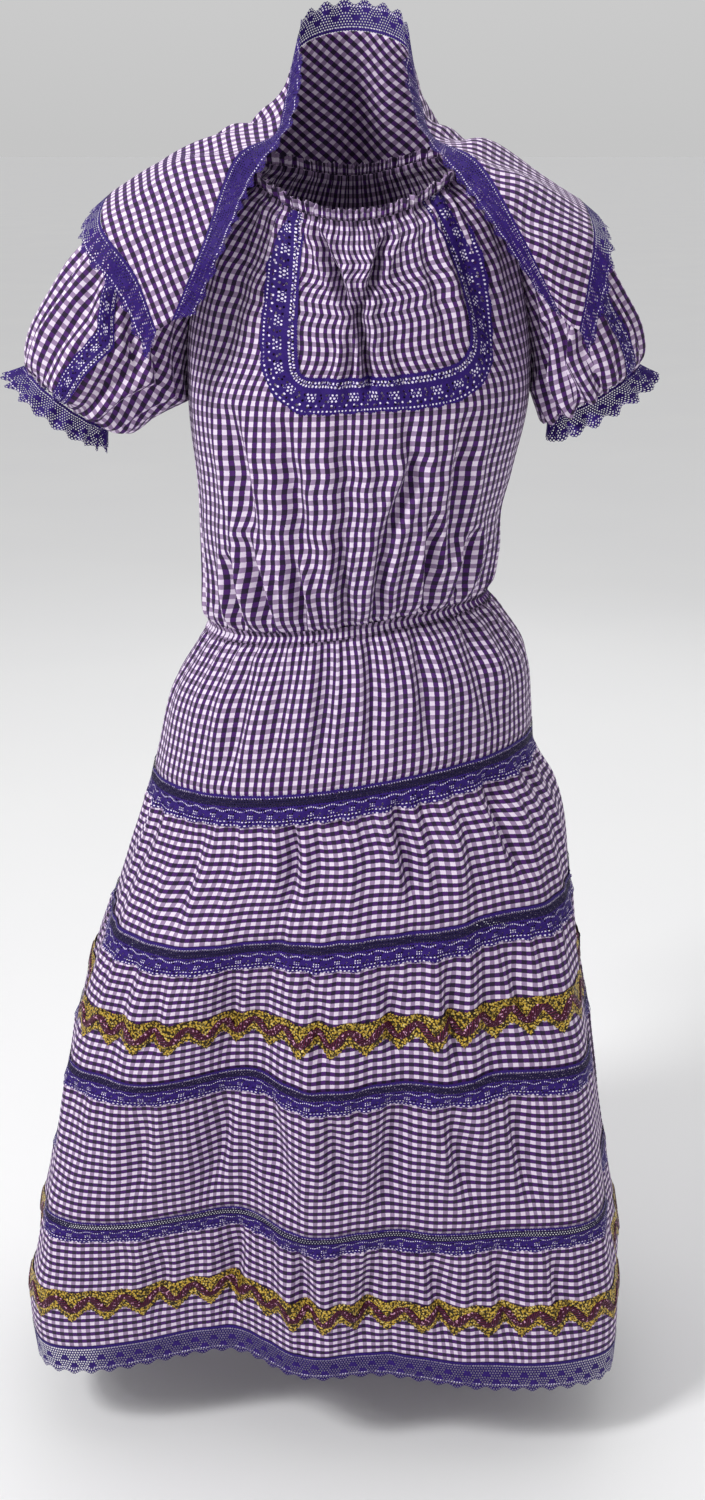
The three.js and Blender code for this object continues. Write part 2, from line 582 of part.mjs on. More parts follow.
function makeShawl() {
  const curves = { neck: shawlCurve("neck"), ridge: shawlCurve("ridge"), hem: shawlCurve("hem") };
  const laceCurve = shawlCurve("lace");
  const points = Array.from({ length: SHAWL_ROWS + 1 }, () => []);
  for (let c = 0; c <= SHAWL_COLUMNS; c += 1) {
    const along = c / SHAWL_COLUMNS;
    const stops = Object.values(curves).map((curve) => curve.getPoint(along));
    const across = new THREE.CatmullRomCurve3(stops, false, "centripetal");
    for (let r = 0; r <= SHAWL_ROWS; r += 1) points[r].push(across.getPoint(r / SHAWL_ROWS));
  }
  const cloth = { points, normals: gridNormals(points, false) };
  addPiece("shawl", "gingham", wallGeometry(cloth, CLOTH_WALL));

  const gapFrom = (p, towards, gap) => p.clone().addScaledVector(towards.clone().sub(p).normalize(), gap);
  const neckEdge = points[0];
  const freeEdge = neckEdge.map((_, c) => laceCurve.getPoint(c / SHAWL_COLUMNS));
  const neckPoints = [freeEdge, neckEdge.map((p, c) => gapFrom(p, freeEdge[c], SEAM_GAP))];
  const neckNormals = gridNormals(neckPoints, false);
  neckNormals[1] = cloth.normals[0];
  addPiece("shawl_lace_neck", "lace", wallGeometry({ points: neckPoints, normals: neckNormals }, LACE_WALL));

  const hemEdge = points[SHAWL_ROWS];
  const inside = points[SHAWL_ROWS - 2];
  const tip = SHAWL_COLUMNS / 2;
  const legs = [
    { name: "shawl_lace_left", from: 0, to: tip },
    { name: "shawl_lace_right", from: tip, to: SHAWL_COLUMNS },
  ];
  for (const leg of legs) {
    const top = [];
    const bottom = [];
    const topNormals = [];
    for (let c = leg.from; c <= leg.to; c += 1) {
      const outwards = hemEdge[c].clone().sub(inside[c]).normalize();
      const corner = Math.abs(c - tip) / tip;
      outwards.z -= lerp(SHAWL_LEAN, SHAWL_CORNER_LEAN, corner ** 8);
      outwards.normalize();
      const start = hemEdge[c].clone().addScaledVector(outwards, SEAM_GAP);
      if (c === tip) start.x += leg.from === 0 ? -SEAM_GAP : SEAM_GAP;
      top.push(start);
      bottom.push(start.clone().addScaledVector(outwards, SHAWL_LACE));
      topNormals.push(cloth.normals[SHAWL_ROWS][c]);
    }
    const strip = { points: [top, bottom], normals: [topNormals, topNormals] };
    addPiece(leg.name, "lace", wallGeometry(strip, LACE_WALL));
  }
}

makeUpperBody();
makeBib();
makeNeckRuffle();
makeWaistCasing();
makeSkirt();
makeShawl();

export default group;
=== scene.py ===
"""A gingham peasant dress with lace, braid and a matching shawl, sewn onto its frame."""

import json
import math

import bpy
import numpy as np
from bpy.props import FloatProperty, FloatVectorProperty, IntProperty, PointerProperty
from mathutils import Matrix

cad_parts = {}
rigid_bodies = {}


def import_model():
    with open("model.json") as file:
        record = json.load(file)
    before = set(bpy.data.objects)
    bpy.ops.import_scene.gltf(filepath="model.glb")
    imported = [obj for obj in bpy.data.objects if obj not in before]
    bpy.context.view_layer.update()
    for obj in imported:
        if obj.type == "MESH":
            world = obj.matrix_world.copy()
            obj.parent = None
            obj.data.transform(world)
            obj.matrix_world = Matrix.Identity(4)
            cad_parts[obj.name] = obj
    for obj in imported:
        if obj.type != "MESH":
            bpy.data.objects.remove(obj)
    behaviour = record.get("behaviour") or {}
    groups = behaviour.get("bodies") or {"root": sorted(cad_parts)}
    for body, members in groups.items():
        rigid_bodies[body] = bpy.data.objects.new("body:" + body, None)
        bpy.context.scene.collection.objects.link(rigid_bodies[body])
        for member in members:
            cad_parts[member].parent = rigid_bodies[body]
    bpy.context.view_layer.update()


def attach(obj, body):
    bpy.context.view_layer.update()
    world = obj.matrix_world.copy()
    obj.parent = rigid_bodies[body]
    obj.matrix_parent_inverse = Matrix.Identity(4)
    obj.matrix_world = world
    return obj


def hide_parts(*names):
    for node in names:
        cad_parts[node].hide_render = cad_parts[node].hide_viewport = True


bl_info = {
    "name": "Gingham Dress and Shawl",
    "version": (1, 0, 0),
    "blender": (4, 5, 0),
    "location": "View3D > Sidebar > Dress",
    "description": "Sews a tiered gingham dress with lace, braid and a shawl",
    "category": "Object",
}

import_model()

MM = 0.001
UP = np.array([0.0, 0.0, 1.0])
# From one woven thread to the next but one, in metres.
YARN = 0.0006


def table(columns, rows):
    """Named columns of a short table, as arrays."""
    return dict(zip(columns.split(), np.array(rows, float).T))


# Horizontal sections of the dress, in millimetres. rise lifts the sides, nape the back, tilt one
# side; mid is the middle across, wide, front and back are half sizes and box squares the section.
SECTIONS = table(
    "z rise nape tilt mid wide front back box",
    [
        (-25, 29, 34, 4, 4, 98, 98, 72, 2.0),
        (-66, 34, 22, 4, 5, 138, 110, 92, 2.1),
        (-122, 20, 10, 4, 5, 156, 119, 101, 2.2),
        (-184, 0, 0, 6, 6, 160, 123, 105, 2.2),
        (-262, 0, 0, 7, 2, 149, 126, 109, 2.2),
        (-300, 0, 0, 9, -2, 144, 125, 110, 2.2),
        (-340, 0, 0, 12, -2, 143, 122, 108, 2.2),
        (-370, 0, 0, 15, -4, 141, 112, 101, 2.1),
        (-389, 0, 0, 16, -5, 137, 101, 92, 2.0),
        (-410, 0, 0, 17, -4, 150, 112, 104, 2.1),
        (-450, 0, 0, 19, -4, 175, 128, 124, 2.2),
        (-506, 0, 0, 22, -8, 187, 138, 142, 2.1),
        (-560, 0, 0, 23, -12, 196, 144, 152, 2.1),
        (-605, 0, 0, 23, -7, 216, 158, 162, 2.4),
        (-685, -3, 0, 21, -14, 238, 180, 178, 3.0),
        (-750, -5, 0, 15, -20, 257, 190, 188, 3.5),
        (-835, -6, 0, 9, -23, 277, 200, 198, 4.0),
        (-950, -8, 0, 5, -25, 297, 200, 204, 4.4),
        (-1035, -10, 0, 2, -27, 314, 198, 206, 4.8),
        (-1100, -15, 0, 0, -28, 328, 200, 208, 5.0),
        (-1158, -32, 0, 0, -28, 326, 202, 210, 5.0),
    ],
)

# Large soft folds of the skirt: their place and half width at the hip and at the hem in degrees,
# where they start, and how far the cloth goes in.
FOLDS = [
    (-22, -38, 11, 21, -560, 38, 54),
    (22, 18, 10, 12, -600, 14, 8),
    (46, 42, 9, 9, -540, 36, 0),
    (56, 54, 8, 9, -900, 0, -12),
    (-54, -56, 8, 7, -640, 26, -6),
    (78, 74, 11, 10, -620, 12, 16),
    (112, 116, 13, 12, -600, 20, 28),
    (146, 143, 13, 14, -560, 28, 38),
    (176, 181, 10, 13, -640, 14, 22),
    (212, 216, 12, 16, -580, 28, 40),
    (249, 246, 12, 11, -620, 18, 22),
    (280, 282, 11, 11, -600, 12, 14),
]
FOLD_FULL_Z = -850
FOLD_SOFTNESS = 1.7
# How far cloth is drawn up for each millimetre that a large fold goes in.
FOLD_HITCH = 0.22

# The slanting seams between bodice and sleeves, in degrees from the centre front.
RAGLAN = table("z seam", [(-25, 66), (-66, 70), (-122, 78), (-153, 84), (-184, 90), (-384, 90)])

NECKLINE_Z = -25
NECK_GATHERS_Z = -45
UNDERARM_Z = -184
CHEST_Z = -230.0
WAIST_TOP_Z = -384
WAIST_BOTTOM_Z = -394
HEM_Z = -1133
HEM_LACE_Z = -1158
LACES = {
    "hip_lace": (-529, -560),
    "thigh_lace": (-670, -700),
    "knee_lace": (-819, -846),
    "calf_lace": (-985, -1010),
}
GOLD = {"upper_gold_trim": (-754, -781), "lower_gold_trim": (-1071, -1099)}
TIERS = {
    "tier_1": (-560, -670),
    "tier_2": (-700, -819),
    "tier_3": (-846, -985),
    "tier_4": (-1010, -1133),
}

# Rows of each sleeve from the neck to the cuff: its outermost line, its innermost line, its half
# depth and how much of a full turn the row covers. The first five start at the raglan seams, so
# their innermost line is not given.
SLEEVES = {
    "left": table(
        "crown_x crown_z under_x under_z deep arc",
        [
            (-94, 11, 0, 0, 36, 0.5),
            (-154, 8, 0, 0, 56, 0.6),
            (-214, -24, 0, 0, 66, 0.75),
            (-246, -50, 0, 0, 72, 0.85),
            (-270, -78, 0, 0, 76, 1),
            (-293, -112, -184, -204, 78, 1),
            (-304, -142, -208, -220, 70, 1),
            (-304, -157, -231, -213, 47, 1),
        ],
    ),
    "right": table(
        "crown_x crown_z under_x under_z deep arc",
        [
            (102, 11, 0, 0, 36, 0.5),
            (152, 6, 0, 0, 56, 0.6),
            (202, -28, 0, 0, 66, 0.75),
            (226, -56, 0, 0, 70, 0.85),
            (243, -84, 0, 0, 72, 1),
            (261, -112, 174, -200, 74, 1),
            (270, -140, 179, -211, 66, 1),
            (266, -155, 184, -204, 47, 1),
        ],
    ),
}
SLEEVE_SEAM_Z = [-25, -66, -122, -153, -184]
# The last row that starts at the raglan seams, and the row of the cuff.
SEAM_END, CUFF = 4, 7
SLEEVE_SHARES = np.linspace(0, 1, 141)
SLEEVE_ROWS = np.linspace(0, CUFF, 64)
# Where the lace runs on each sleeve: shares round it, and rows.
SLEEVE_LACE = {"left": (0.25, 0.2917), "right": (0.3333, 0.375)}
SLEEVE_LACE_ROWS = (2, 6.85)
SLEEVE_LACE_DEPTH = 24.0
# The columns over the crown of a sleeve, which give its cut length.
SLEEVE_CROWN = slice(40, 100)

# The shawl from its left corner, round the nape, to its right corner: the free edge of the neck
# lace, the neck edge of the cloth, the fold over the shoulder and the hem.
SHAWL = {
    "lace": [(-134, -126, -100), (-104, -128, -36), (-84, -90, 8), (-52, -40, 58), (-45, 2, 100),
             (-44, 50, 146), (0, 80, 161), (45, 50, 146), (47, 2, 98), (56, -38, 56), (90, -92, 8),
             (122, -128, -34), (168, -123, -94)],
    "neck": [(-156, -121, -106), (-127, -122, -42), (-100, -68, 28), (-68, -22, 46), (-60, 10, 76),
             (-47, 48, 120), (0, 76, 135), (48, 48, 120), (61, 10, 74), (71, -20, 44),
             (108, -72, 24), (142, -120, -32), (181, -118, -104)],
    "ridge": [(-162, -120, -110), (-155, -120, -54), (-150, -82, 8), (-134, -4, 43),
              (-104, 32, 48), (-76, 84, 40), (0, 106, 40), (76, 84, 40), (88, 34, 42.1),
              (112, -2, 41), (146, -84, 4), (166, -119, -50), (188, -117, -110)],
    "hem": [(-169, -119, -114), (-186, -112, -68), (-216, -88, -30), (-214, 4, -2),
            (-204, 62, -30), (-146, 120, -118), (0, 132, -236), (146, 120, -118), (192, 62, -32),
            (202, 4, -8), (208, -88, -36), (202, -110, -78), (196, -116, -114)],
}

# Where the bib's outer and inner edges run on the front bodice, from the left side of the
# neckline, down, across and up again: degrees from the centre front, and height.
BIB = table(
    "outer outer_z inner inner_z",
    [
        (-43, -22, -27, -22),
        (-40.5, -50, -25.5, -50),
        (-39, -90, -24.5, -90),
        (-39.5, -122, -24.5, -120),
        (-39, -146, -24, -140),
        (-36, -163, -23.3, -149),
        (-30, -176, -21, -152.5),
        (-22, -184, -17, -153),
        (0, -184, 0, -153),
        (24, -184, 22, -153),
        (38, -181, 36, -151),
        (47, -172, 41, -147),
        (52.5, -158, 43.5, -138),
        (55.5, -132, 43.5, -122),
        (54.5, -95, 41.5, -92),
        (51.5, -52, 37.5, -52),
        (49, -22, 34, -22),
    ],
)

BIB_DEPTH = 31.0

# Repeats of the lace, charted on a honeycomb: # thread, o eyelet, x net.
INSERTION_CHART = [
    "#######",
    "ooooooo",
    "xxxxxxx",
    "xxxxxxx",
    "xxxxxxx",
    "##ooo##",
    "#o###o#",
    "o#####o",
    "###o###",
    "#oo#oo#",
    "o#####o",
    "#######",
]
BIB_CHART = [
    "#######",
    "#o#o#o#",
    "#o#o#o#",
    "#######",
    "#######",
    "##o#o##",
    "###o###",
    "##o#o##",
    "#######",
    "o##o##o",
    "#######",
    "#######",
]
EDGING_CHART = [
    "#######",
    "xxxxxxx",
    "xxxxxxx",
    "xxxxxxx",
    "xx##xxx",
    "x###xxx",
    "xxxxxxx",
    "xxxxx##",
    "#xxxx##",
    "xxxxxxx",
    "ooooooo",
]

# Kinds of lace: chart, share of the scallop's depth, share of a cell that each hole opens, and
# where its rows start in the thread's map, which tells the material one kind from another.
LACE_KINDS = {
    "bib": (BIB_CHART, 0.25, {"o": 0.7}, 0.0),
    "edging": (EDGING_CHART, 1.0, {"o": 0.5, "x": 0.44}, 0.1),
    "hem": (EDGING_CHART, 0.8, {"o": 0.5, "x": 0.58}, 0.1),
    "insertion": (INSERTION_CHART, 0.25, {"o": 0.6, "x": 0.42}, 0.2),
}
LACE_MAP_DEPTH = 0.03
SCALLOP_SHIFT = 0.86

# Painted white glints in rows along the laces, standing for highlights on the thread and for white
# cloth seen through the eyelets, in millimetres: how deep the row lies, half the height of its
# dashes, their spacing, and the line that it keeps to.
BAND_DASHES = [
    (3.6, 0.6, 2.86, "straight"),
    (15.0, 0.6, 2.2, "arch"),
    (25.2, 0.5, 3.33, "straight"),
    (28.6, 0.6, 4.0, "straight"),
    (19.8, 0.6, 2.2, "petal"),
    (21.9, 0.6, 2.2, "petal"),
]
EDGING_DASHES = [(4.2, 0.6, 2.86), (24.8, 0.7, 2.86)]

# Round painted glints of the bib and the sleeve laces, in millimetres: depth of the row, radius,
# spacing, how far the row is shifted along, and whether it shows in the flowers alone.
BIB_DOTS = [
    (4.4, 1.0, 3.33, 0, False),
    (7.2, 1.0, 3.33, 1.67, False),
    (13.5, 0.9, 3.33, 0, True),
    (16.0, 1.0, 3.33, 1.67, True),
    (18.5, 0.9, 3.33, 0, True),
    (22.2, 0.9, 6.67, 0, False),
    (27.0, 0.8, 3.33, 0, False),
]
FLOWER_HALF, PETAL_HALF = 4.5, 3.0
ARCH_HEIGHT = 1.1
# The band's net strip, its thread painted dark as shade, in millimetres: its middle and half its height.
NET_SHADE = (7.8, 3.4)

# The braid, in millimetres down from its upper edge: the cord's middle line, half width and height,
# then the edges of the loops, how far they swing with the cord, and their small scallops.
CORD_MIDDLE, CORD_HALF, CORD_HEIGHT, CORD_LIFT = 13.4, 3.0, 1.2, 1.4
LOOPS_TOP, LOOPS_BOTTOM, LOOPS_HEIGHT, LOOPS_LIFT = -1.8, 26.4, 0.9, 1.0
TOP_SWING, BOTTOM_SHARE, TUFT = 1.6, 0.86, 2.2
TOP_SCALLOP, TOP_SCALLOPS = 0.6, 12
BOTTOM_SCALLOP, BOTTOM_SCALLOPS = 0.9, 10
CORD_MAP_MIDDLE = 0.005

# The halves of the skirt, in degrees from the centre front, the gap at their seams in degrees, and
# how far the cloth runs on under the laces, in millimetres.
HALVES = {"front": (-90.0, 90.0), "back": (90.0, 270.0)}
SIDE_GAP = 0.05
LACE_LAP = {"top": 6.0, "bottom": 14.0}

# Cut size of the neck ruffle and of the waist casing, in millimetres.
RUFFLE_CUT = (1040, 12)
WAIST_CUT = (990, 11)

# How much of a fold's cloth is taken from its own row, against the whole piece.
FOLD_TAKE = 0.2
BODICE_TAKE = {"front": 0.5, "back": 0.3}
# The least width of the cut bodice, as a share of its width at the chest.
LEAST_CHEST = 0.97
# Columns of the bodice's and the skirt's cloth, and the skirt's rows in millimetres.
BODICE_COLUMNS = {"front": 190, "back": 150}
SKIRT_COLUMNS = {"front": 220, "back": 180}
SKIRT_STEP = 5.0

# Gathers at the seams of the body: depth in millimetres, how far they reach from the seam, their
# spacing in degrees, seed, and 1 where they wander sideways.
GATHERS = {
    "neck": [(3.6, 26, 2.6, 11, 0), (3.6, 46, 5.5, 12, 1)],
    "bodice": [(2.2, 26, 2.4, 13, 0), (4.2, 80, 6.5, 14, 1)],
    "yoke": [(2.0, 26, 2.4, 15, 0), (3.6, 75, 5.6, 16, 1)],
}
# Spacing of the soft waves of each tier, in degrees.
TIER_WAVES = (5.0, 5.4, 6.8, 6.0)
CREASE_STRENGTH = 2.5


def linear(code):
    """A colour written as six hexadecimal digits, as linear red, green and blue."""
    parts = [int(code[i : i + 2], 16) / 255 for i in (0, 2, 4)]
    return tuple(p / 12.92 if p < 0.04045 else ((p + 0.055) / 1.055) ** 2.4 for p in parts)


def colour_property(name, code, description):
    return FloatVectorProperty(
        name=name, description=description, subtype="COLOR", size=3, min=0, max=1, default=linear(code)
    )


def length_property(name, default, description):
    return FloatProperty(name=name, description=description, default=default, unit="LENGTH")


class GinghamSettings(bpy.types.PropertyGroup):
    check_width: length_property("Check width", 0.0084, "From one dark stripe to the next")
    check_height: length_property("Check height", 0.0092, "From one grey stripe to the next")
    wall: length_property("Wall", 0.0009, "Thickness of the cloth")
    light: colour_property("Light", "F9EAFE", "White squares")
    weft: colour_property("Weft", "A68AB4", "Squares of the grey stripes")
    warp: colour_property("Warp", "4E1570", "Squares of the purple stripes")
    deep: colour_property("Crossing", "200732", "Squares where both stripes cross")


class LaceSettings(bpy.types.PropertyGroup):
    repeat: length_property("Repeat", 0.020, "Length of one repeat")
    scallop: length_property("Scallop", 0.0028, "Depth of the scalloped edge")
    lift: length_property("Lift", 0.0011, "How far the lace lies above the cloth")
    thread: colour_property("Thread", "35127C", "Blue-violet thread")


class BraidSettings(bpy.types.PropertyGroup):
    wave: length_property("Wave", 0.036, "Length of one wave of the cord")
    swing: length_property("Swing", 0.0070, "Half height of the wave")
    gold: colour_property("Gold", "DAB544", "Metallic loops")
    cord: colour_property("Cord", "680C3A", "Metallic zigzag cord")


class StudioSettings(bpy.types.PropertyGroup):
    distance: length_property("Distance", 1.6, "From the camera to the dress")
    pitch: FloatProperty(
        name="Pitch",
        description="How far the camera looks down",
        default=math.radians(20),
        subtype="ANGLE",
    )
    lens: FloatProperty(name="Lens", description="Focal length in millimetres", default=40.18)
    floor_z: length_property("Floor", -1.27, "Height of the floor")
    seed: IntProperty(name="Seed", description="Seed for the uneven gathers", default=7)


def settings(group):
    return getattr(bpy.context.scene, group)


# Curves and folds, in millimetres.


def hermite(t, first, leaving, last, arriving):
    """Between two values with given slopes, at t from 0 to 1."""
    return (
        (2 * t**3 - 3 * t**2 + 1) * first
        + (t**3 - 2 * t**2 + t) * leaving
        + (3 * t**2 - 2 * t**3) * last
        + (t**3 - t**2) * arriving
    )


def eased(t):
    """From 0 to 1 with a level start and end."""
    return t * t * (3 - 2 * t)


def smooth(rows, column, z):
    """A smooth curve through a table's column, read at heights that fall down the table."""
    at, value = -rows["z"], rows[column]
    slope = np.gradient(value, at)
    slope[1:-1] = (value[2:] - value[:-2]) / (at[2:] - at[:-2])
    z = -np.asarray(z, float)
    i = np.clip(np.searchsorted(at, z, side="right") - 1, 0, len(at) - 2)
    step = at[i + 1] - at[i]
    t = np.clip((z - at[i]) / step, 0, 1)
    return hermite(t, value[i], step * slope[i], value[i + 1], step * slope[i + 1])


def through(values, share):
    """A smooth curve through evenly spaced values, read at places counted in rows."""
    rows = {"z": -np.arange(len(values), dtype=float), "value": np.asarray(values, float)}
    return smooth(rows, "value", -np.asarray(share, float))


def curve(points, share):
    """Points on a centripetal curve through the given points, at shares from 0 to 1."""
    p = np.asarray(points, float)
    last = len(p) - 1
    at = np.clip(np.asarray(share, float) * last, 0, last - 1e-9)
    i = at.astype(int)
    t = (at - i)[..., None]
    whole = np.concatenate([[2 * p[0] - p[1]], p, [2 * p[-1] - p[-2]]])
    q = [whole[i + k] for k in range(4)]
    steps = [np.linalg.norm(q[k + 1] - q[k], axis=-1, keepdims=True) for k in range(3)]
    d = [np.sqrt(np.maximum(step, 1e-4)) for step in steps]
    m1 = ((q[1] - q[0]) / d[0] - (q[2] - q[0]) / (d[0] + d[1]) + (q[2] - q[1]) / d[1]) * d[1]
    m2 = ((q[2] - q[1]) / d[1] - (q[3] - q[1]) / (d[1] + d[2]) + (q[3] - q[2]) / d[2]) * d[1]
    return hermite(t, q[1], m1, q[2], m2)


def uneven(at, spacing, seed):
    """Ridges and troughs of uneven width and height, about one for each spacing along a length."""
    at = np.asarray(at, float)
    rng = np.random.default_rng(seed + settings("dress_studio").seed)
    first = math.floor(at.min() / spacing) - 3
    count = math.ceil(at.max() / spacing) - first + 4
    order = np.arange(count)
    knots = (order + first + 0.36 * rng.uniform(-1, 1, count)) * spacing
    heights = np.where(order % 2, 1, -1) * rng.uniform(0.3, 1.0, count)
    i = np.clip(np.searchsorted(knots, at) - 1, 0, count - 2)
    t = np.clip((at - knots[i]) / (knots[i + 1] - knots[i]), 0, 1)
    return heights[i] + (heights[i + 1] - heights[i]) * eased(t)


def fade(distance, length):
    """One at a seam, falling smoothly to nothing a few lengths away."""
    return np.exp(-np.maximum(distance, 0) / length)


def fold_depth(z, angle):
    depth = np.zeros(np.broadcast(z, angle).shape)
    for at, at_hem, half, half_hem, start, deep, hem in FOLDS:
        down = np.clip((start - z) / (start - HEM_LACE_Z), 0, 1)
        grown = eased(np.clip((start - z) / (start - FOLD_FULL_Z), 0, 1))
        centre = at + (at_hem - at) * down
        reach = FOLD_SOFTNESS * (half + (half_hem - half) * down)
        away = (angle - centre + 180) % 360 - 180
        bump = np.cos(np.pi / 2 * np.clip(away / reach, -1, 1)) ** 2
        depth += grown * (deep + (hem - deep) * down) * bump
    return depth


def body(z, angle, swell=0.0):
    """Points of the dress's surface at heights and angles, with swell added outwards."""
    z, angle = np.broadcast_arrays(np.asarray(z, float), np.asarray(angle, float))
    value = {name: smooth(SECTIONS, name, z) for name in SECTIONS if name != "z"}
    sine, cosine = np.sin(np.radians(angle)), np.cos(np.radians(angle))
    deep = np.where(cosine > 0, value["front"], value["back"])
    box = value["box"]
    radius = (np.abs(sine / value["wide"]) ** box + np.abs(cosine / deep) ** box) ** (-1 / box)
    folded = fold_depth(z, angle)
    reach = radius - folded + swell
    lift = value["rise"] * sine**2 + value["nape"] * (1 - cosine) / 2 + value["tilt"] * sine
    lift = lift + FOLD_HITCH * folded
    return np.stack([value["mid"] + reach * sine, -reach * cosine, z + lift], -1)


# Main creases: start and end in millimetres across and up as seen square on, width
# and depth. A negative depth is a ridge.
FRONT_CREASES = [
    (4, -84, 15, -162, 4.2, 8.6),
    (-30, -38, 3, -106, 4.0, 7.6),
    (32, -38, 7, -100, 4.0, 7.6),
    (3, -98, -5, -152, 4.6, 4.0),
    (-8, -40, -14, -84, 4, 2.2),
    (22, -40, 24, -92, 4, 2.0),
    (60, -52, 84, -120, 6, 2.0),
    (-2, -118, -16, -168, 6, -2.4),
    (22, -112, 36, -168, 6, -2.6),
    (-52, -44, -60, -110, 6, 1.6),
    (-84, -46, -118, -150, 9, 2.4),
    (84, -44, 130, -150, 9, 2.4),
    (-110, -190, -92, -300, 8, 4.4),
    (-100, -300, -78, -374, 6, 6.2),
    (-114, -318, -106, -378, 5, 4.4),
    (-62, -200, -40, -330, 8, 3.6),
    (-58, -310, -44, -376, 5.5, 5.0),
    (-8, -190, -2, -300, 9, 3.6),
    (-12, -290, -6, -378, 5.5, 5.0),
    (58, -232, 30, -300, 6.5, 5.4),
    (30, -300, 22, -376, 5.5, 5.2),
    (48, -190, 62, -262, 8, 3.4),
    (74, -286, 70, -376, 5.5, 5.2),
    (104, -200, 92, -320, 8, 4.4),
    (112, -310, 98, -372, 5.5, 5.0),
    (-96, -420, -122, -510, 8, 2.6),
    (-60, -408, -78, -500, 7, 2.4),
    (-22, -404, -30, -505, 8, 2.8),
    (18, -404, 20, -500, 7, 2.6),
    (62, -400, 74, -498, 8, 2.8),
    (104, -396, 132, -486, 9, 2.6),
    (-54, -562, -58, -640, 7, 4.2),
    (40, -560, 62, -640, 7, 5.0),
    (128, -548, 168, -640, 8, 5.4),
    (-150, -566, -176, -650, 9, 3.4),
    (-10, -566, -6, -650, 10, -2.6),
    (86, -562, 104, -650, 10, -2.8),
    (-116, -704, -126, -800, 9, 3.2),
    (-40, -702, -30, -800, 9, 3.6),
    (34, -702, 40, -790, 8, 3.4),
    (92, -698, 104, -806, 9, 4.0),
    (150, -694, 176, -790, 9, 3.4),
    (-190, -706, -204, -800, 9, 3.0),
    (-128, -850, -150, -965, 12, 4.4),
    (-76, -848, -66, -975, 11, 4.0),
    (-24, -850, -10, -940, 10, 4.2),
    (42, -850, 30, -960, 12, 3.8),
    (100, -848, 120, -950, 11, 4.4),
    (160, -846, 184, -960, 11, 3.6),
    (-210, -856, -222, -960, 11, 3.2),
    (-196, -1016, -204, -1110, 10, 3.4),
    (-120, -1014, -132, -1120, 10, 3.8),
    (-58, -1012, -40, -1110, 10, 4.2),
    (20, -1014, 10, -1120, 10, 4.0),
    (84, -1014, 100, -1110, 10, 4.2),
    (150, -1012, 166, -1110, 10, 3.6),
    (206, -1010, 220, -1100, 9, 3.2),
]
BACK_CREASES = [
    (-4, -60, 6, -170, 9, 4.0),
    (-56, -58, -70, -180, 9, 3.2),
    (52, -60, 66, -176, 9, 3.0),
    (-96, -190, -80, -330, 9, 3.4),
    (-40, -220, -34, -372, 8, 3.6),
    (16, -200, 10, -376, 9, 3.4),
    (70, -230, 56, -372, 8, 3.8),
    (110, -210, 98, -350, 8, 3.0),
    (-100, -408, -124, -505, 8, 2.8),
    (-40, -404, -50, -500, 8, 2.8),
    (14, -404, 18, -505, 8, 2.6),
    (74, -404, 92, -498, 8, 2.8),
    (-150, -564, -176, -650, 9, 3.8),
    (-70, -562, -80, -640, 8, 4.6),
    (6, -562, 14, -646, 8, 4.2),
    (88, -562, 112, -640, 8, 4.6),
    (160, -560, 190, -645, 9, 3.6),
    (-170, -704, -196, -800, 9, 3.4),
    (-90, -704, -100, -800, 9, 4.0),
    (-16, -704, -6, -790, 9, 3.8),
    (70, -702, 84, -800, 9, 3.8),
    (150, -702, 172, -800, 9, 3.4),
    (-196, -850, -216, -970, 11, 3.6),
    (-104, -850, -118, -960, 11, 4.4),
    (-20, -850, -30, -975, 11, 4.0),
    (66, -850, 84, -960, 11, 4.4),
    (160, -850, 186, -970, 11, 3.6),
    (-180, -1014, -190, -1115, 10, 3.8),
    (-84, -1014, -96, -1110, 10, 4.2),
    (4, -1014, 14, -1118, 10, 4.0),
    (96, -1014, 110, -1110, 10, 4.2),
    (190, -1012, 204, -1110, 10, 3.4),
]


def creases(rows, across, up):
    """How far the given creases move the cloth outwards at each place."""
    out = np.zeros(np.broadcast(across, up).shape)
    for x0, z0, x1, z1, width, depth in rows:
        dx, dz = x1 - x0, z1 - z0
        along = np.clip(((across - x0) * dx + (up - z0) * dz) / (dx * dx + dz * dz), 0, 1)
        off = np.hypot(across - x0 - along * dx, up - z0 - along * dz) / width
        side = np.exp(-((off - 1.9) ** 2) * 1.6)
        taper = np.sin(np.pi * np.clip(0.06 + 0.9 * along, 0, 1)) ** 0.7
        out += depth * taper * (0.35 * side - np.exp(-off * off))
    return out


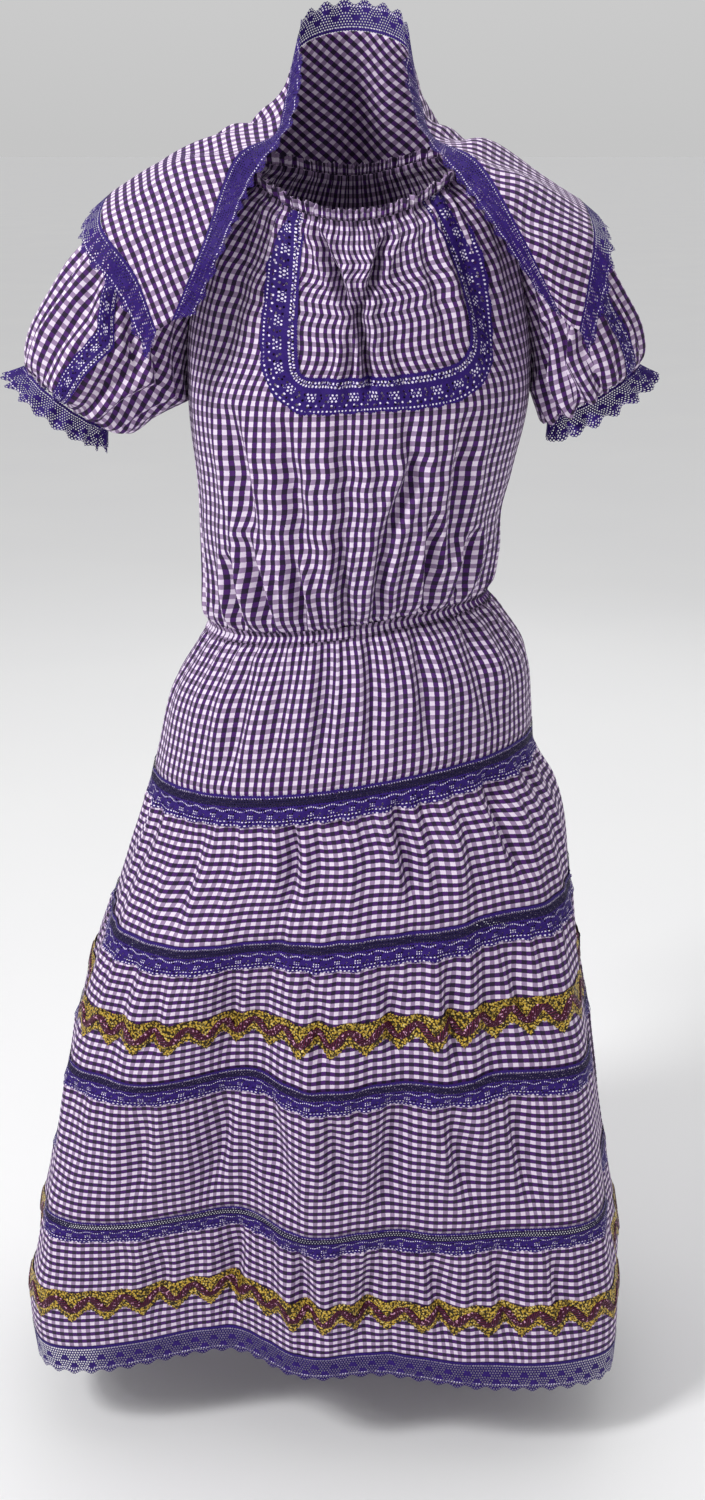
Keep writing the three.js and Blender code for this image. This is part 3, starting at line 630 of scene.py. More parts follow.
def body_swell(z, angle):
    """Gathers and soft folds of the bodice and skirt: how far they stand out, in millimetres."""
    z, angle = np.broadcast_arrays(np.asarray(z, float), np.asarray(angle, float))
    wander = 0.9 * uneven(z, 60, 5)
    out = -2.2 * np.exp(-(((z - NECKLINE_Z + 4) / 3.5) ** 2))
    above, below = z - WAIST_TOP_Z, WAIST_BOTTOM_Z - z
    upper, lower = above > 0, below > 0
    seams = (("neck", upper, NECKLINE_Z - z), ("bodice", upper, above), ("yoke", lower, below))
    for seam, here, distance in seams:
        for depth, reach, spacing, seed, wanders in GATHERS[seam]:
            ridges = uneven(angle + wanders * wander, spacing, seed)
            out += np.where(here, depth * fade(distance, reach) * ridges, 0)
    out += np.where(upper | lower, 0, 1.3 * uneven(angle, 1.5, 17))
    for number, ((top, bottom), spacing) in enumerate(zip(TIERS.values(), TIER_WAVES)):
        drop = top - z
        inside = np.clip(1 + np.minimum(drop, 0) / 14, 0, 1) * np.clip(1 - (bottom - z) / 30, 0, 1)
        drift = 0.9 * uneven(z, 45, 30 + number)
        out += 1.5 * inside * fade(drop, 26) * uneven(angle, 2.1, 20 + number)
        out += 3.8 * inside * fade(drop, 120) * uneven(angle + drift, spacing, 40 + number)
    across = body(z, angle)[..., 0]
    front, back = creases(FRONT_CREASES, across, z), creases(BACK_CREASES, -across, z)
    return out + CREASE_STRENGTH * np.where(np.cos(np.radians(angle)) > 0, front, back)


def draped_body(z, angle, lift=0.0):
    return body(z, angle, body_swell(z, angle) + lift)


def raglan(z):
    return smooth(RAGLAN, "seam", z)


# Meshes.


def spans(points, axis):
    """Running length along an axis of a grid of points, averaged over the other axis."""
    steps = np.linalg.norm(np.diff(points, axis=axis), axis=-1).mean(axis=1 - axis)
    return np.concatenate([[0], np.cumsum(steps)])


def sampled_grid(points, lines, columns):
    """A grid read between its rows and columns."""
    i = np.clip(lines.astype(int), 0, points.shape[0] - 2)
    j = np.clip(columns.astype(int), 0, points.shape[1] - 2)
    s, t = (lines - i)[:, None, None], (columns - j)[None, :, None]
    a, b = points[i][:, j], points[i][:, j + 1]
    c, d = points[i + 1][:, j], points[i + 1][:, j + 1]
    return (a * (1 - t) + b * t) * (1 - s) + (c * (1 - t) + d * t) * s


def flattened(points, flat, levels=(8, 4, 2, 1), rounds=150):
    """Cut coordinates of a grid of cloth that keep its own lengths as nearly as they can."""
    rows, columns = points.shape[:2]
    for step in levels:
        r = np.unique(np.r_[0:rows:step, rows - 1])
        c = np.unique(np.r_[0:columns:step, columns - 1])
        p, q = points[np.ix_(r, c)], flat[np.ix_(r, c)].copy()
        first = q.copy()
        for _ in range(rounds):
            move, count = np.zeros_like(q), np.zeros(q.shape[:2] + (1,))
            for a, b in (
                (np.s_[:-1, :], np.s_[1:, :]),
                (np.s_[:, :-1], np.s_[:, 1:]),
                (np.s_[:-1, :-1], np.s_[1:, 1:]),
                (np.s_[:-1, 1:], np.s_[1:, :-1]),
            ):
                want = np.linalg.norm(p[b] - p[a], axis=-1, keepdims=True)
                apart = q[b] - q[a]
                now = np.maximum(np.linalg.norm(apart, axis=-1, keepdims=True), 1e-6)
                shift = 0.5 * apart * (now - want) / now
                move[a] += shift
                move[b] -= shift
                count[a] += 1
                count[b] += 1
            q += 1.4 * move / count
        lines = np.interp(np.arange(rows), r, np.arange(len(r)))
        across = np.interp(np.arange(columns), c, np.arange(len(c)))
        flat = flat + sampled_grid(q - first, lines, across)
    return flat


def grid_faces(rows, columns, closed=False):
    """The faces of a grid of points, and the row and column of each of their corners."""
    row, column = np.mgrid[0 : rows - 1, 0 : columns if closed else columns - 1]
    following = (column + 1) % columns
    a, b = row * columns + column, (row + 1) * columns + column
    c, d = (row + 1) * columns + following, row * columns + following
    faces = np.stack([a, b, c, d], -1).reshape(-1, 4)
    top, left = row.reshape(-1), column.reshape(-1)
    corner_rows = np.stack([top, top + 1, top + 1, top], -1)
    corner_columns = np.stack([left, left, left + 1, left + 1], -1)
    return faces, (corner_rows, corner_columns)


def mesh_object(name, vertices, faces, maps, material=None):
    """A mesh object from millimetres, with a UV map for each entry of maps."""
    mesh = bpy.data.meshes.new(name)
    places = (np.asarray(vertices, float) * MM).tolist()
    mesh.from_pydata(places, [], [list(map(int, face)) for face in faces])
    for label, coordinates in maps.items():
        layer = mesh.uv_layers.new(name=label)
        layer.data.foreach_set("uv", np.asarray(coordinates, np.float32).reshape(-1))
    mesh.shade_smooth()
    if material:
        mesh.materials.append(material)
    result = bpy.data.objects.new(name, mesh)
    bpy.context.scene.collection.objects.link(result)
    return result


def cloth(name, points, u, v, inside, closed=False, turned=False):
    """A sheet of gingham on a grid of points. u and v are its cut coordinates in millimetres."""
    rows, columns = points.shape[:2]
    faces, corners = grid_faces(rows, columns, closed)
    flat = np.stack(np.broadcast_arrays(u, v), -1) * MM
    if turned:
        flat = flat[..., ::-1]
    flat = flat[corners]
    vertices = points.reshape(-1, 3)
    a, b, c = (vertices[faces[:, k]] for k in (0, 1, 2))
    if (np.cross(b - a, c - a) * (a - np.array(inside))).sum() < 0:
        faces, flat = faces[:, ::-1], flat[:, ::-1]
    piece = mesh_object(name, vertices, faces, {"Cloth": flat}, finish("Gingham"))
    wall = piece.modifiers.new("Wall", "SOLIDIFY")
    wall.thickness = settings("dress_gingham").wall
    wall.offset = -1
    return piece


def sew(piece, node):
    """Puts a finished sheet in its node's place on the dress."""
    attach(piece, "root")
    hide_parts(node)


# Materials.


def new_material(name):
    material = bpy.data.materials.new(name)
    material.use_nodes = True
    tree = material.node_tree
    return material, tree, tree.nodes["Principled BSDF"]


def node(tree, kind, inputs=(), **choices):
    """A new node with its inputs, each a value or another node's output, and its choices."""
    made = tree.nodes.new(kind)
    for key, value in choices.items():
        setattr(made, key, value)
    for key, value in dict(inputs).items():
        if isinstance(value, bpy.types.NodeSocket):
            tree.links.new(value, made.inputs[key])
        else:
            made.inputs[key].default_value = value
    return made


def maths(tree, operation, *values):
    return node(tree, "ShaderNodeMath", enumerate(values), operation=operation).outputs[0]


def mix(tree, factor, first, second):
    inputs = {0: factor, 6: first, 7: second}
    return node(tree, "ShaderNodeMix", inputs, data_type="RGBA").outputs[2]


def ramp(tree, value, low, high, first=0.0, last=1.0, soft=False):
    """A value between low and high, mapped to first and last and kept between them."""
    made = node(tree, "ShaderNodeMapRange", {0: value, 1: low, 2: high, 3: first, 4: last})
    if soft:
        made.interpolation_type = "SMOOTHSTEP"
    return made.outputs[0]


def spread(tree, value, first, last):
    return ramp(tree, value, 0.0, 1.0, first, last)


def beat(tree, along, pitch, shape="SINE"):
    """A wave along a length."""
    return maths(tree, shape, maths(tree, "MULTIPLY", along, math.tau / pitch))


def stripe(tree, along, pitch, softness, narrow=0.0):
    """One on the stripes along a length and nothing between them."""
    return ramp(tree, beat(tree, along, pitch), narrow - softness, narrow + softness, soft=True)


def noise(tree, scale, detail=2.0, vector=None):
    inputs = {"Scale": scale, "Detail": detail}
    if vector is not None:
        inputs["Vector"] = vector
    return node(tree, "ShaderNodeTexNoise", inputs).outputs["Fac"]


def paint(colour):
    """Opaque red, green and blue, from a setting or from six hexadecimal digits."""
    return (*(linear(colour) if isinstance(colour, str) else colour), 1)


def surface(tree, shader, colour, roughness, height, strength, depth, invert=False):
    """Joins a colour, a roughness and a bump to a material's shader."""
    inputs = {"Strength": strength, "Distance": depth, "Height": height}
    bump = node(tree, "ShaderNodeBump", inputs, invert=invert)
    for name, value in (("Base Color", colour), ("Roughness", roughness), ("Normal", bump.outputs[0])):
        tree.links.new(value, shader.inputs[name])


def scaled(tree, colour, strength):
    """A colour made lighter or darker by a number."""
    return mix(tree, strength, (0, 0, 0, 1), colour)


def object_coordinates(tree):
    return node(tree, "ShaderNodeTexCoord").outputs["Object"]


def cloth_coordinates(tree):
    uv = node(tree, "ShaderNodeUVMap", uv_map="Cloth").outputs[0]
    parts = node(tree, "ShaderNodeSeparateXYZ", {0: uv})
    return parts.outputs[0], parts.outputs[1]


def gingham():
    """Woven checks: dark warp stripes and grey weft stripes on white, with the weave as bump."""
    sizes = settings("dress_gingham")
    material, tree, shader = new_material("Gingham")
    u, v = cloth_coordinates(tree)
    place = object_coordinates(tree)
    slub = spread(tree, noise(tree, 900.0, 3.0, place), -0.00035, 0.00035)
    warp = stripe(tree, maths(tree, "ADD", u, slub), sizes.check_width, 0.07, -0.03)
    weft = stripe(tree, maths(tree, "ADD", v, slub), sizes.check_height, 0.07)
    plain = mix(tree, weft, paint(sizes.light), paint(sizes.weft))
    dark = mix(tree, weft, paint(sizes.warp), paint(sizes.deep))
    colour = mix(tree, warp, plain, dark)
    uneven_dye = spread(tree, noise(tree, 14.0, 3.0, place), 0.86, 1.0)
    threads = maths(tree, "MULTIPLY", beat(tree, u, YARN), beat(tree, v, YARN))
    grain = maths(tree, "MULTIPLY", uneven_dye, spread(tree, threads, 0.93, 1.0))
    roughness = spread(tree, noise(tree, 60.0, 2.0, place), 0.72, 0.9)
    surface(tree, shader, scaled(tree, colour, grain), roughness, threads, 0.25, 0.0002)
    shader.inputs["Sheen Weight"].default_value = 0.04
    shader.inputs["Sheen Roughness"].default_value = 0.5
    return material


def dashes(tree, along, down, at, half, period):
    """A row of short white dashes at one depth of the lace."""
    near = maths(tree, "LESS_THAN", maths(tree, "ABSOLUTE", maths(tree, "SUBTRACT", down, at)), half)
    return maths(tree, "MULTIPLY", near, maths(tree, "GREATER_THAN", beat(tree, along, period), 0.15))


def dots(tree, along, down, at, radius, period, shift):
    """A row of round white dots at one depth of the lace."""
    x = maths(tree, "PINGPONG", maths(tree, "ADD", along, shift), period / 2)
    y = maths(tree, "SUBTRACT", down, at)
    reach = maths(tree, "ADD", maths(tree, "MULTIPLY", x, x), maths(tree, "MULTIPLY", y, y))
    return maths(tree, "LESS_THAN", reach, radius * radius)


def lace_glints(tree, along, depths):
    """Where the painted white glints show, for each kind of lace."""
    repeat = settings("dress_lace").repeat
    band, bib = depths["insertion"], depths["bib"]
    rise = maths(tree, "MULTIPLY", beat(tree, along, repeat, "COSINE"), ARCH_HEIGHT * MM)
    arch = maths(tree, "ADD", band, rise)
    middle = maths(tree, "PINGPONG", along, repeat / 2)
    flower = maths(tree, "LESS_THAN", middle, FLOWER_HALF * MM)
    petal = maths(tree, "LESS_THAN", middle, PETAL_HALF * MM)
    rows = []
    for at, half, period, line in BAND_DASHES:
        down = arch if line == "arch" else band
        row = dashes(tree, along, down, at * MM, half * MM, period * MM)
        rows.append(maths(tree, "MULTIPLY", row, petal) if line == "petal" else row)
    for at, half, period in EDGING_DASHES:
        rows.append(dashes(tree, along, depths["edging"], at * MM, half * MM, period * MM))
    for at, radius, period, shift, in_flower in BIB_DOTS:
        row = dots(tree, along, bib, at * MM, radius * MM, period * MM, shift * MM)
        rows.append(maths(tree, "MULTIPLY", row, flower) if in_flower else row)
    glint = rows[0]
    for row in rows[1:]:
        glint = maths(tree, "MAXIMUM", glint, row)
    return glint


def lace_thread():
    """Blue-violet thread, with painted white glints in rows that differ for bib, edging and skirt bands.
    """
    material, tree, shader = new_material("Lace thread")
    place = object_coordinates(tree)
    along, deep = cloth_coordinates(tree)
    starts = {kind: LACE_KINDS[kind][-1] for kind in ("bib", "edging", "insertion")}
    depths = {kind: maths(tree, "SUBTRACT", deep, start) for kind, start in starts.items()}
    fine = noise(tree, 1500.0, 2.0, place)
    # Painted glints: white dashes and dots standing for highlights on the thread and for white cloth seen
    # through the eyelets, shown in random patches.
    glint_patches = ramp(tree, noise(tree, 300.0, 2.0, place), 0.38, 0.5)
    glint = maths(tree, "MULTIPLY", lace_glints(tree, along, depths), glint_patches)
    base = mix(tree, noise(tree, 260.0, 2.0, place), paint("1C0A50"), paint(settings("dress_lace").thread))
    # Painted shade: the thread of the band's net strip is darkened, as if the dark inside of the skirt
    # showed through it.
    middle, half = NET_SHADE
    off = maths(tree, "ABSOLUTE", maths(tree, "SUBTRACT", depths["insertion"], middle * MM))
    net = maths(tree, "MULTIPLY", maths(tree, "LESS_THAN", off, half * MM), 0.85)
    base = mix(tree, net, base, paint("120A2C"))
    # Painted highlights: light violet specks where the thread catches the light.
    base = mix(tree, ramp(tree, fine, 0.66, 0.76, 0.0, 0.35), base, paint("8468E0"))
    # Paints the white glints onto the thread.
    colour = mix(tree, glint, base, paint("EDE4FA"))
    surface(tree, shader, colour, spread(tree, fine, 0.55, 0.8), fine, 0.5, 0.0004)
    shader.inputs["Specular IOR Level"].default_value = 0.25
    return material


def gold_loops():
    """Looped metallic yarn: painted bright glints over painted shade in the gaps."""
    material, tree, shader = new_material("Gold loops")
    place = object_coordinates(tree)
    cells = node(tree, "ShaderNodeTexVoronoi", {"Scale": 460.0, "Vector": place})
    # Painted shade in the gaps between the loops; the same mask gives the bump.
    gaps = ramp(tree, cells.outputs["Distance"], 0.42, 0.62, soft=True)
    # Painted highlights: pale gold sparkles, where the yarn is also made less rough.
    sparkle_highlight = ramp(tree, noise(tree, 420.0, 3.0, place), 0.54, 0.66)
    colour = mix(tree, sparkle_highlight, paint(settings("dress_braid").gold), paint("FCE890"))
    dull = ramp(tree, noise(tree, 380.0, 2.0, place), 0.5, 0.36)
    # Darkens the gold with the painted shade of the gaps and with dull patches at random.
    dark = maths(tree, "MAXIMUM", gaps, maths(tree, "MULTIPLY", dull, 0.8))
    colour = mix(tree, dark, colour, paint("2E2006"))
    surface(tree, shader, colour, spread(tree, sparkle_highlight, 0.45, 0.25), gaps, 0.9, 0.0012, invert=True)
    shader.inputs["Metallic"].default_value = 0.5
    return material


def maroon_cord():
    """Twisted metallic cord, with painted shade in its twist and painted pink-white glints."""
    material, tree, shader = new_material("Maroon cord")
    place = object_coordinates(tree)
    u, v = cloth_coordinates(tree)
    # Painted shade in the grooves of the twist, which also gives the bump.
    twist = beat(tree, maths(tree, "ADD", u, v), 0.0022)
    # Painted pink-white glints of the metallic cord.
    glint = ramp(tree, noise(tree, 420.0, 2.0, place), 0.61, 0.66)
    colour = mix(tree, twist, paint("26051B"), paint(settings("dress_braid").cord))
    colour = mix(tree, glint, colour, paint("F2B4D6"))
    surface(tree, shader, colour, spread(tree, glint, 0.5, 0.25), twist, 0.6, 0.0005)
    shader.inputs["Specular IOR Level"].default_value = 0.25
    return material


def finish(name):
    """A material of the dress, made the first time that a piece asks for it."""
    makers = {
        "Gingham": gingham,
        "Lace thread": lace_thread,
        "Gold loops": gold_loops,
        "Maroon cord": maroon_cord,
    }
    return bpy.data.materials.get(name) or makers[name]()


# Trims: a flat repeat is laid many times along a strip of the dress. The strip's own map has room
# round the trim and runs from 0 to 1, all in metres.

REPEAT = "repeat_"
LAY_MARGIN = 0.02
LAY_SPAN = 3.0
# How far a strip runs on past its trim, in millimetres.
STRIP_PAD = 12.0
# The least share of a trim's flat size that counts as its area.
LEAST_AREA = 0.31


def lace_repeat(name, kind, depth):
    """One repeat of lace, flat, from its chart: a honeycomb of thread, eyelets and net."""
    sizes = settings("dress_lace")
    chart, scalloped, holes, start = LACE_KINDS[kind]
    scallop = sizes.scallop / MM * scalloped
    repeat = sizes.repeat / MM
    wide = repeat / len(chart[0])
    side = wide / math.sqrt(3)
    stretch = depth / (side * (1.5 * len(chart) + 0.5))
    turns = [math.radians(30 - 60 * k) for k in range(6)]
    places, vertices, faces = {}, [], []

    def corner(x, y):
        key = (round(x, 3), round(y, 3))
        if key not in places:
            places[key] = len(vertices)
            down = y * stretch
            swing = scallop * math.cos(math.tau * (x / repeat - SCALLOP_SHIFT)) * (down / depth) ** 3
            vertices.append((x, down + swing, 0.0))
        return places[key]

    def hexagon(x, y, reach):
        return [corner(x + reach * math.cos(a), y + reach * math.sin(a)) for a in turns]

    for r, row in enumerate(chart):
        for c, kind_of_cell in enumerate(row):
            x, y = (c + 0.5 + 0.5 * (r % 2)) * wide, side * (1 + 1.5 * r)
            ring = hexagon(x, y, side)
            if kind_of_cell == "#":
                faces.append(ring)
                continue
            inner = hexagon(x, y, side * holes[kind_of_cell])
            for k in range(6):
                following = (k + 1) % 6
                faces.append([ring[k], ring[following], inner[following], inner[k]])
    deep = LACE_MAP_DEPTH / depth
    flat = [[vertices[i][0] * MM, vertices[i][1] * deep + start] for face in faces for i in face]
    return mesh_object(name, vertices, faces, {"Cloth": flat})


def ribbon_repeat(name, length, top, bottom, height, columns, rows):
    """One repeat of a flat ribbon between two edges, raised in its middle."""
    x = np.linspace(0, length, columns + 1)
    share = np.linspace(0, 1, rows + 1)[:, None]
    down = top(x) + (bottom(x) - top(x)) * share
    raised = height * np.sin(np.pi * share) ** 0.5
    points = np.stack(np.broadcast_arrays(x, down, raised), -1)
    faces, corners = grid_faces(rows + 1, columns + 1)
    return mesh_object(name, points.reshape(-1, 3), faces, {"Cloth": (points[..., :2] * MM)[corners]})


def cord_repeat(name, length, middle, half, height, columns, sides):
    """One repeat of a flattened cord along a wavy line."""
    x = np.linspace(0, length, columns + 1)
    bend = np.linspace(0, math.tau, sides + 1)[:, None]
    slope = np.gradient(middle(x), x)
    across = half * np.cos(bend)
    inner = (x > 0) * (x < length)
    sideways = x - across * slope / np.sqrt(1 + slope**2) * inner
    down = middle(x) + across * np.sqrt(1 + 0.5 * slope**2)
    raised = height * (0.4 + np.sin(bend))
    points = np.stack(np.broadcast_arrays(sideways, down, raised), -1)
    faces, corners = grid_faces(sides + 1, columns + 1)
    flat = np.stack(np.broadcast_arrays(x * MM, CORD_MAP_MIDDLE + across * MM), -1)[corners]
    faces = faces % (sides * (columns + 1))
    return mesh_object(name, points[:-1].reshape(-1, 3), faces, {"Cloth": flat})


def carrier(points, u, v):
    """The strip that a trim is laid on, a little longer and wider than the trim on every side."""
    for axis, at in ((1, u), (0, v)):
        first, second = np.take(points, [0], axis), np.take(points, [1], axis)
        last, before = np.take(points, [-1], axis), np.take(points, [-2], axis)
        start = first + (first - second) * STRIP_PAD / (at[1] - at[0])
        end = last + (last - before) * STRIP_PAD / (at[-1] - at[-2])
        points = np.concatenate([start, points, end], axis)
    u, v = (np.concatenate([[at[0] - STRIP_PAD], at, [at[-1] + STRIP_PAD]]) for at in (u, v))
    faces, corners = grid_faces(len(v), len(u))
    flat = np.stack(np.broadcast_arrays(u[None, :], v[:, None]), -1) * MM
    flat = (flat + LAY_MARGIN) / LAY_SPAN
    return mesh_object("strip", points.reshape(-1, 3), faces, {"Lay": flat[corners]})


def trim_tree():
    """Geometry Nodes: repeats a flat piece along a line, then lays it on a strip."""
    tree = bpy.data.node_groups.get("Lay trim")
    if tree:
        return tree
    tree = bpy.data.node_groups.new("Lay trim", "GeometryNodeTree")
    face = tree.interface
    face.new_socket("Geometry", in_out="INPUT", socket_type="NodeSocketGeometry")
    for label, kind in (
        ("Strip", "NodeSocketObject"),
        ("Repeat", "NodeSocketObject"),
        ("Count", "NodeSocketInt"),
        ("Length", "NodeSocketFloat"),
        ("Stretch", "NodeSocketFloat"),
        ("Lift", "NodeSocketFloat"),
        ("Material", "NodeSocketMaterial"),
    ):
        face.new_socket(label, in_out="INPUT", socket_type=kind)
    face.new_socket("Geometry", in_out="OUTPUT", socket_type="NodeSocketGeometry")
    given = tree.nodes.new("NodeGroupInput").outputs
    step = node(tree, "ShaderNodeCombineXYZ", {0: given["Length"]}).outputs[0]
    line = node(tree, "GeometryNodeMeshLine", {"Count": given["Count"], "Offset": step}, mode="OFFSET")
    tile = node(tree, "GeometryNodeObjectInfo", {0: given["Repeat"]}).outputs["Geometry"]
    copies = node(tree, "GeometryNodeInstanceOnPoints", {"Points": line.outputs[0], "Instance": tile})
    real = node(tree, "GeometryNodeRealizeInstances", {0: copies.outputs[0]}).outputs[0]
    joined = node(tree, "GeometryNodeMergeByDistance", {"Geometry": real, "Distance": 0.03 * MM})
    strip = node(tree, "GeometryNodeObjectInfo", {0: given["Strip"]}).outputs["Geometry"]
    place = tree.nodes.new("GeometryNodeInputPosition").outputs[0]
    parts = node(tree, "ShaderNodeSeparateXYZ", {0: place}).outputs

    def laid(value):
        return maths(tree, "DIVIDE", maths(tree, "ADD", value, LAY_MARGIN), LAY_SPAN)

    along = laid(maths(tree, "MULTIPLY", parts[0], given["Stretch"]))
    spot = node(tree, "ShaderNodeCombineXYZ", {0: along, 1: laid(parts[1])}).outputs[0]
    named = node(tree, "GeometryNodeInputNamedAttribute", {"Name": "Lay"}, data_type="FLOAT_VECTOR")
    lay = named.outputs[0]
    normal = tree.nodes.new("GeometryNodeInputNormal").outputs[0]

    def sampled(value):
        made = node(tree, "GeometryNodeSampleUVSurface", data_type="FLOAT_VECTOR")
        tree.links.new(strip, made.inputs[0])
        sources = {"Value": value, "UV Map": lay, "Source UV Map": lay, "Sample UV": spot}
        for label, source in sources.items():
            socket = next((s for s in made.inputs if s.name == label and s.enabled), None)
            if socket:
                tree.links.new(source, socket)
        return made.outputs[0]

    out = maths(tree, "ADD", parts[2], given["Lift"])
    raised = node(tree, "ShaderNodeVectorMath", {0: sampled(normal), 3: out}, operation="SCALE")
    final = node(tree, "ShaderNodeVectorMath", {0: sampled(place), 1: raised.outputs[0]}, operation="ADD")
    moved = {"Geometry": joined.outputs[0], "Position": final.outputs[0]}
    moved = node(tree, "GeometryNodeSetPosition", moved).outputs[0]
    smooth_faces = node(tree, "GeometryNodeSetShadeSmooth", {"Geometry": moved}).outputs[0]
    finished = node(tree, "GeometryNodeRealizeInstances", {0: smooth_faces}).outputs[0]
    painted = {"Geometry": finished, "Material": given["Material"]}
    painted = node(tree, "GeometryNodeSetMaterial", painted)
    end = tree.nodes.new("NodeGroupOutput")
    tree.links.new(painted.outputs[0], end.inputs[0])
    return tree


def lay_trim(name, points, u, v, tile, length, material, lift):
    """A trim laid along a strip of points. The tile's length is in millimetres."""
    strip = carrier(points, u, v)
    whole = u[-1] - u[0]
    count = max(1, round(whole / length))
    holder = bpy.data.objects.new(name + "_holder", bpy.data.meshes.new(name + "_holder"))
    bpy.context.scene.collection.objects.link(holder)
    modifier = holder.modifiers.new("Trim", "NODES")
    tree = trim_tree()
    modifier.node_group = tree
    sockets = {s.name: s.identifier for s in tree.interface.items_tree if s.in_out == "INPUT"}
    for label, value in (
        ("Strip", strip),
        ("Repeat", tile),
        ("Count", count),
        ("Length", length * MM),
        ("Stretch", whole / (count * length)),
        ("Lift", lift * MM),
        ("Material", finish(material)),
    ):
        modifier[sockets[label]] = value
    evaluated = holder.evaluated_get(bpy.context.evaluated_depsgraph_get())
    mesh = bpy.data.meshes.new_from_object(evaluated)
    piece = bpy.data.objects.new(name, mesh)
    mesh.name = name
    bpy.context.scene.collection.objects.link(piece)
    for done in (holder, strip):
        old = done.data
        bpy.data.objects.remove(done)
        bpy.data.meshes.remove(old)
    return piece


def covered(piece):
    """The area of a piece's faces, in square metres."""
    areas = np.zeros(len(piece.data.polygons))
    piece.data.polygons.foreach_get("area", areas)
    return float(areas.sum())


def sew_trim(piece, node_name, width, length):
    """Puts a finished trim in its node's place. It works out an area that leaves out the holes, but does
    not use it.
    """
    whole = width * length * MM * MM
    area = min(max(covered(piece), LEAST_AREA * whole), whole)
    sew(piece, node_name)


def sew_lace(name, node_name, kind, points, u, v, lift):
    """A lace laid along a strip of points and sewn on. Sizes are in millimetres."""
    depth = round(v[-1], 1)
    tile = bpy.data.objects.get(f"{REPEAT}{kind}_{depth:g}")
    tile = tile or lace_repeat(f"{REPEAT}{kind}_{depth:g}", kind, depth)
    repeat = settings("dress_lace").repeat / MM
    piece = lay_trim(name, points, u, v, tile, repeat, "Lace thread", lift)
    sew_trim(piece, node_name, u[-1], v[-1])


def drop_repeats():
    """Removes the flat repeats once every trim is laid."""
    for made in list(bpy.data.objects):
        if made.name.startswith(REPEAT):
            bpy.data.objects.remove(made)


# The pieces.


def band(top, bottom, half, columns=160, step=4.0):
    """Heights and angles of a grid over one half of the skirt."""
    start, end = HALVES[half]
    heights = np.linspace(top, bottom, max(2, round((top - bottom) / step)) + 1)
    angles = np.linspace(start + SIDE_GAP, end - SIDE_GAP, columns + 1)
    return heights[:, None], angles[None, :]


def fold_cut(points, take=FOLD_TAKE):
    """Cut coordinates of gathered cloth: folds take up their share of each row's width."""
    steps = np.linalg.norm(np.diff(points, axis=1), axis=-1)
    run = np.concatenate([np.zeros((len(points), 1)), np.cumsum(steps, axis=1)], axis=1)
    share = run / run[:, -1:]
    share = share.mean(axis=0) + take * (share - share.mean(axis=0))
    return share * run[:, -1].mean(), spans(points, 0)[:, None]


def even_cut(points):
    """Cut coordinates of a strip: its mean width, and its running length down."""
    return spans(points, 1), spans(points, 0)


class DressOperator(bpy.types.Operator):
    bl_options = {"REGISTER", "UNDO"}


class DRESS_OT_bodice(DressOperator):
    """Sews the front and back bodice, gathered at the neck and at the waist"""

    bl_idname = "dress.bodice"
    bl_label = "Bodice"

    def execute(self, context):
        gathered = np.linspace(NECKLINE_Z, NECK_GATHERS_Z, 12)[:-1]
        heights = np.concatenate([gathered, np.linspace(NECK_GATHERS_Z, WAIST_TOP_Z, 72)])
        seam = raglan(heights)[:, None]
        for half, columns in BODICE_COLUMNS.items():
            chest = body(CHEST_Z, np.linspace(*HALVES[half], 181))
            share = np.linspace(-1, 1, columns + 1)[None, :]
            angles = seam * share if half == "front" else 180 + seam * share
            points = draped_body(heights[:, None], angles)
            u, v = fold_cut(points, BODICE_TAKE[half])
            u = u * max(1.0, LEAST_CHEST * spans(chest[None], 1)[-1] / u[0, -1])
            piece = cloth(f"{half}_bodice_cloth", points, u, v, (0, 0, -200))
            sew(piece, f"bodice_{half}")
        return {"FINISHED"}


def sleeve_points(side, share, rows):
    """Points of a sleeve: share goes from its front edge over the crown, rows count down it."""
    sign = -1 if side == "left" else 1
    shape = SLEEVES[side]
    names = ("crown_x", "crown_z", "deep", "arc")
    crown_x, crown_z, deep, arc = (through(shape[name], rows) for name in names)
    seam_z = np.interp(rows, range(SEAM_END + 1), SLEEVE_SEAM_Z)
    seam = raglan(seam_z)
    fronts = draped_body(seam_z, sign * seam)
    backs = draped_body(seam_z, sign * (180 - seam))
    joint = draped_body(UNDERARM_Z, sign * 90.0)
    below = np.clip(rows - SEAM_END, 0, CUFF - SEAM_END)
    ends = (joint[0], shape["under_x"]), (joint[2], shape["under_z"])
    x, z = (through([start, *line[SEAM_END + 1 :]], below) for start, line in ends)
    under = np.stack([x, joint[1] * (1 - np.clip(below, 0, 1)), z], -1)
    low = (rows > SEAM_END)[:, None]
    fronts, backs = np.where(low, under, fronts), np.where(low, under, backs)
    middle = (fronts + backs) / 2
    crown = np.stack([crown_x, middle[:, 1], crown_z], -1)
    turn = np.pi * np.minimum(arc, 1.0)
    lift = (crown - middle) / (1 - np.cos(turn))[:, None]
    centre = crown - lift
    from_crown = 2 * share - 1
    bend = turn[:, None] * from_crown[None, :]
    points = centre[:, None] + lift[:, None] * np.cos(bend)[..., None]
    points[..., 1] += deep[:, None] * np.sin(bend)
    miss_front, miss_back = fronts - points[:, 0], backs - points[:, -1]
    weight = np.abs(from_crown) ** 3
    miss = np.where((from_crown < 0)[None, :, None], miss_front[:, None], miss_back[:, None])
    return points + miss * weight[None, :, None]


def grid_normals(points, inside):
    """Outward unit normals of a grid of points, and whether its own faces look inwards."""
    normal = np.cross(np.gradient(points, axis=0), np.gradient(points, axis=1))
    normal /= np.maximum(np.linalg.norm(normal, axis=-1, keepdims=True), 1e-9)
    inwards = (normal * (points - np.asarray(inside))).sum() < 0
    return (-normal if inwards else normal), inwards


def wound(rows, turns, widen=1.0):
    """Creases whose places are shares round a piece, spread to a number of turns."""
    return [(a * turns, r, b * turns, q, w * turns * widen, d) for a, r, b, q, w, d in rows]


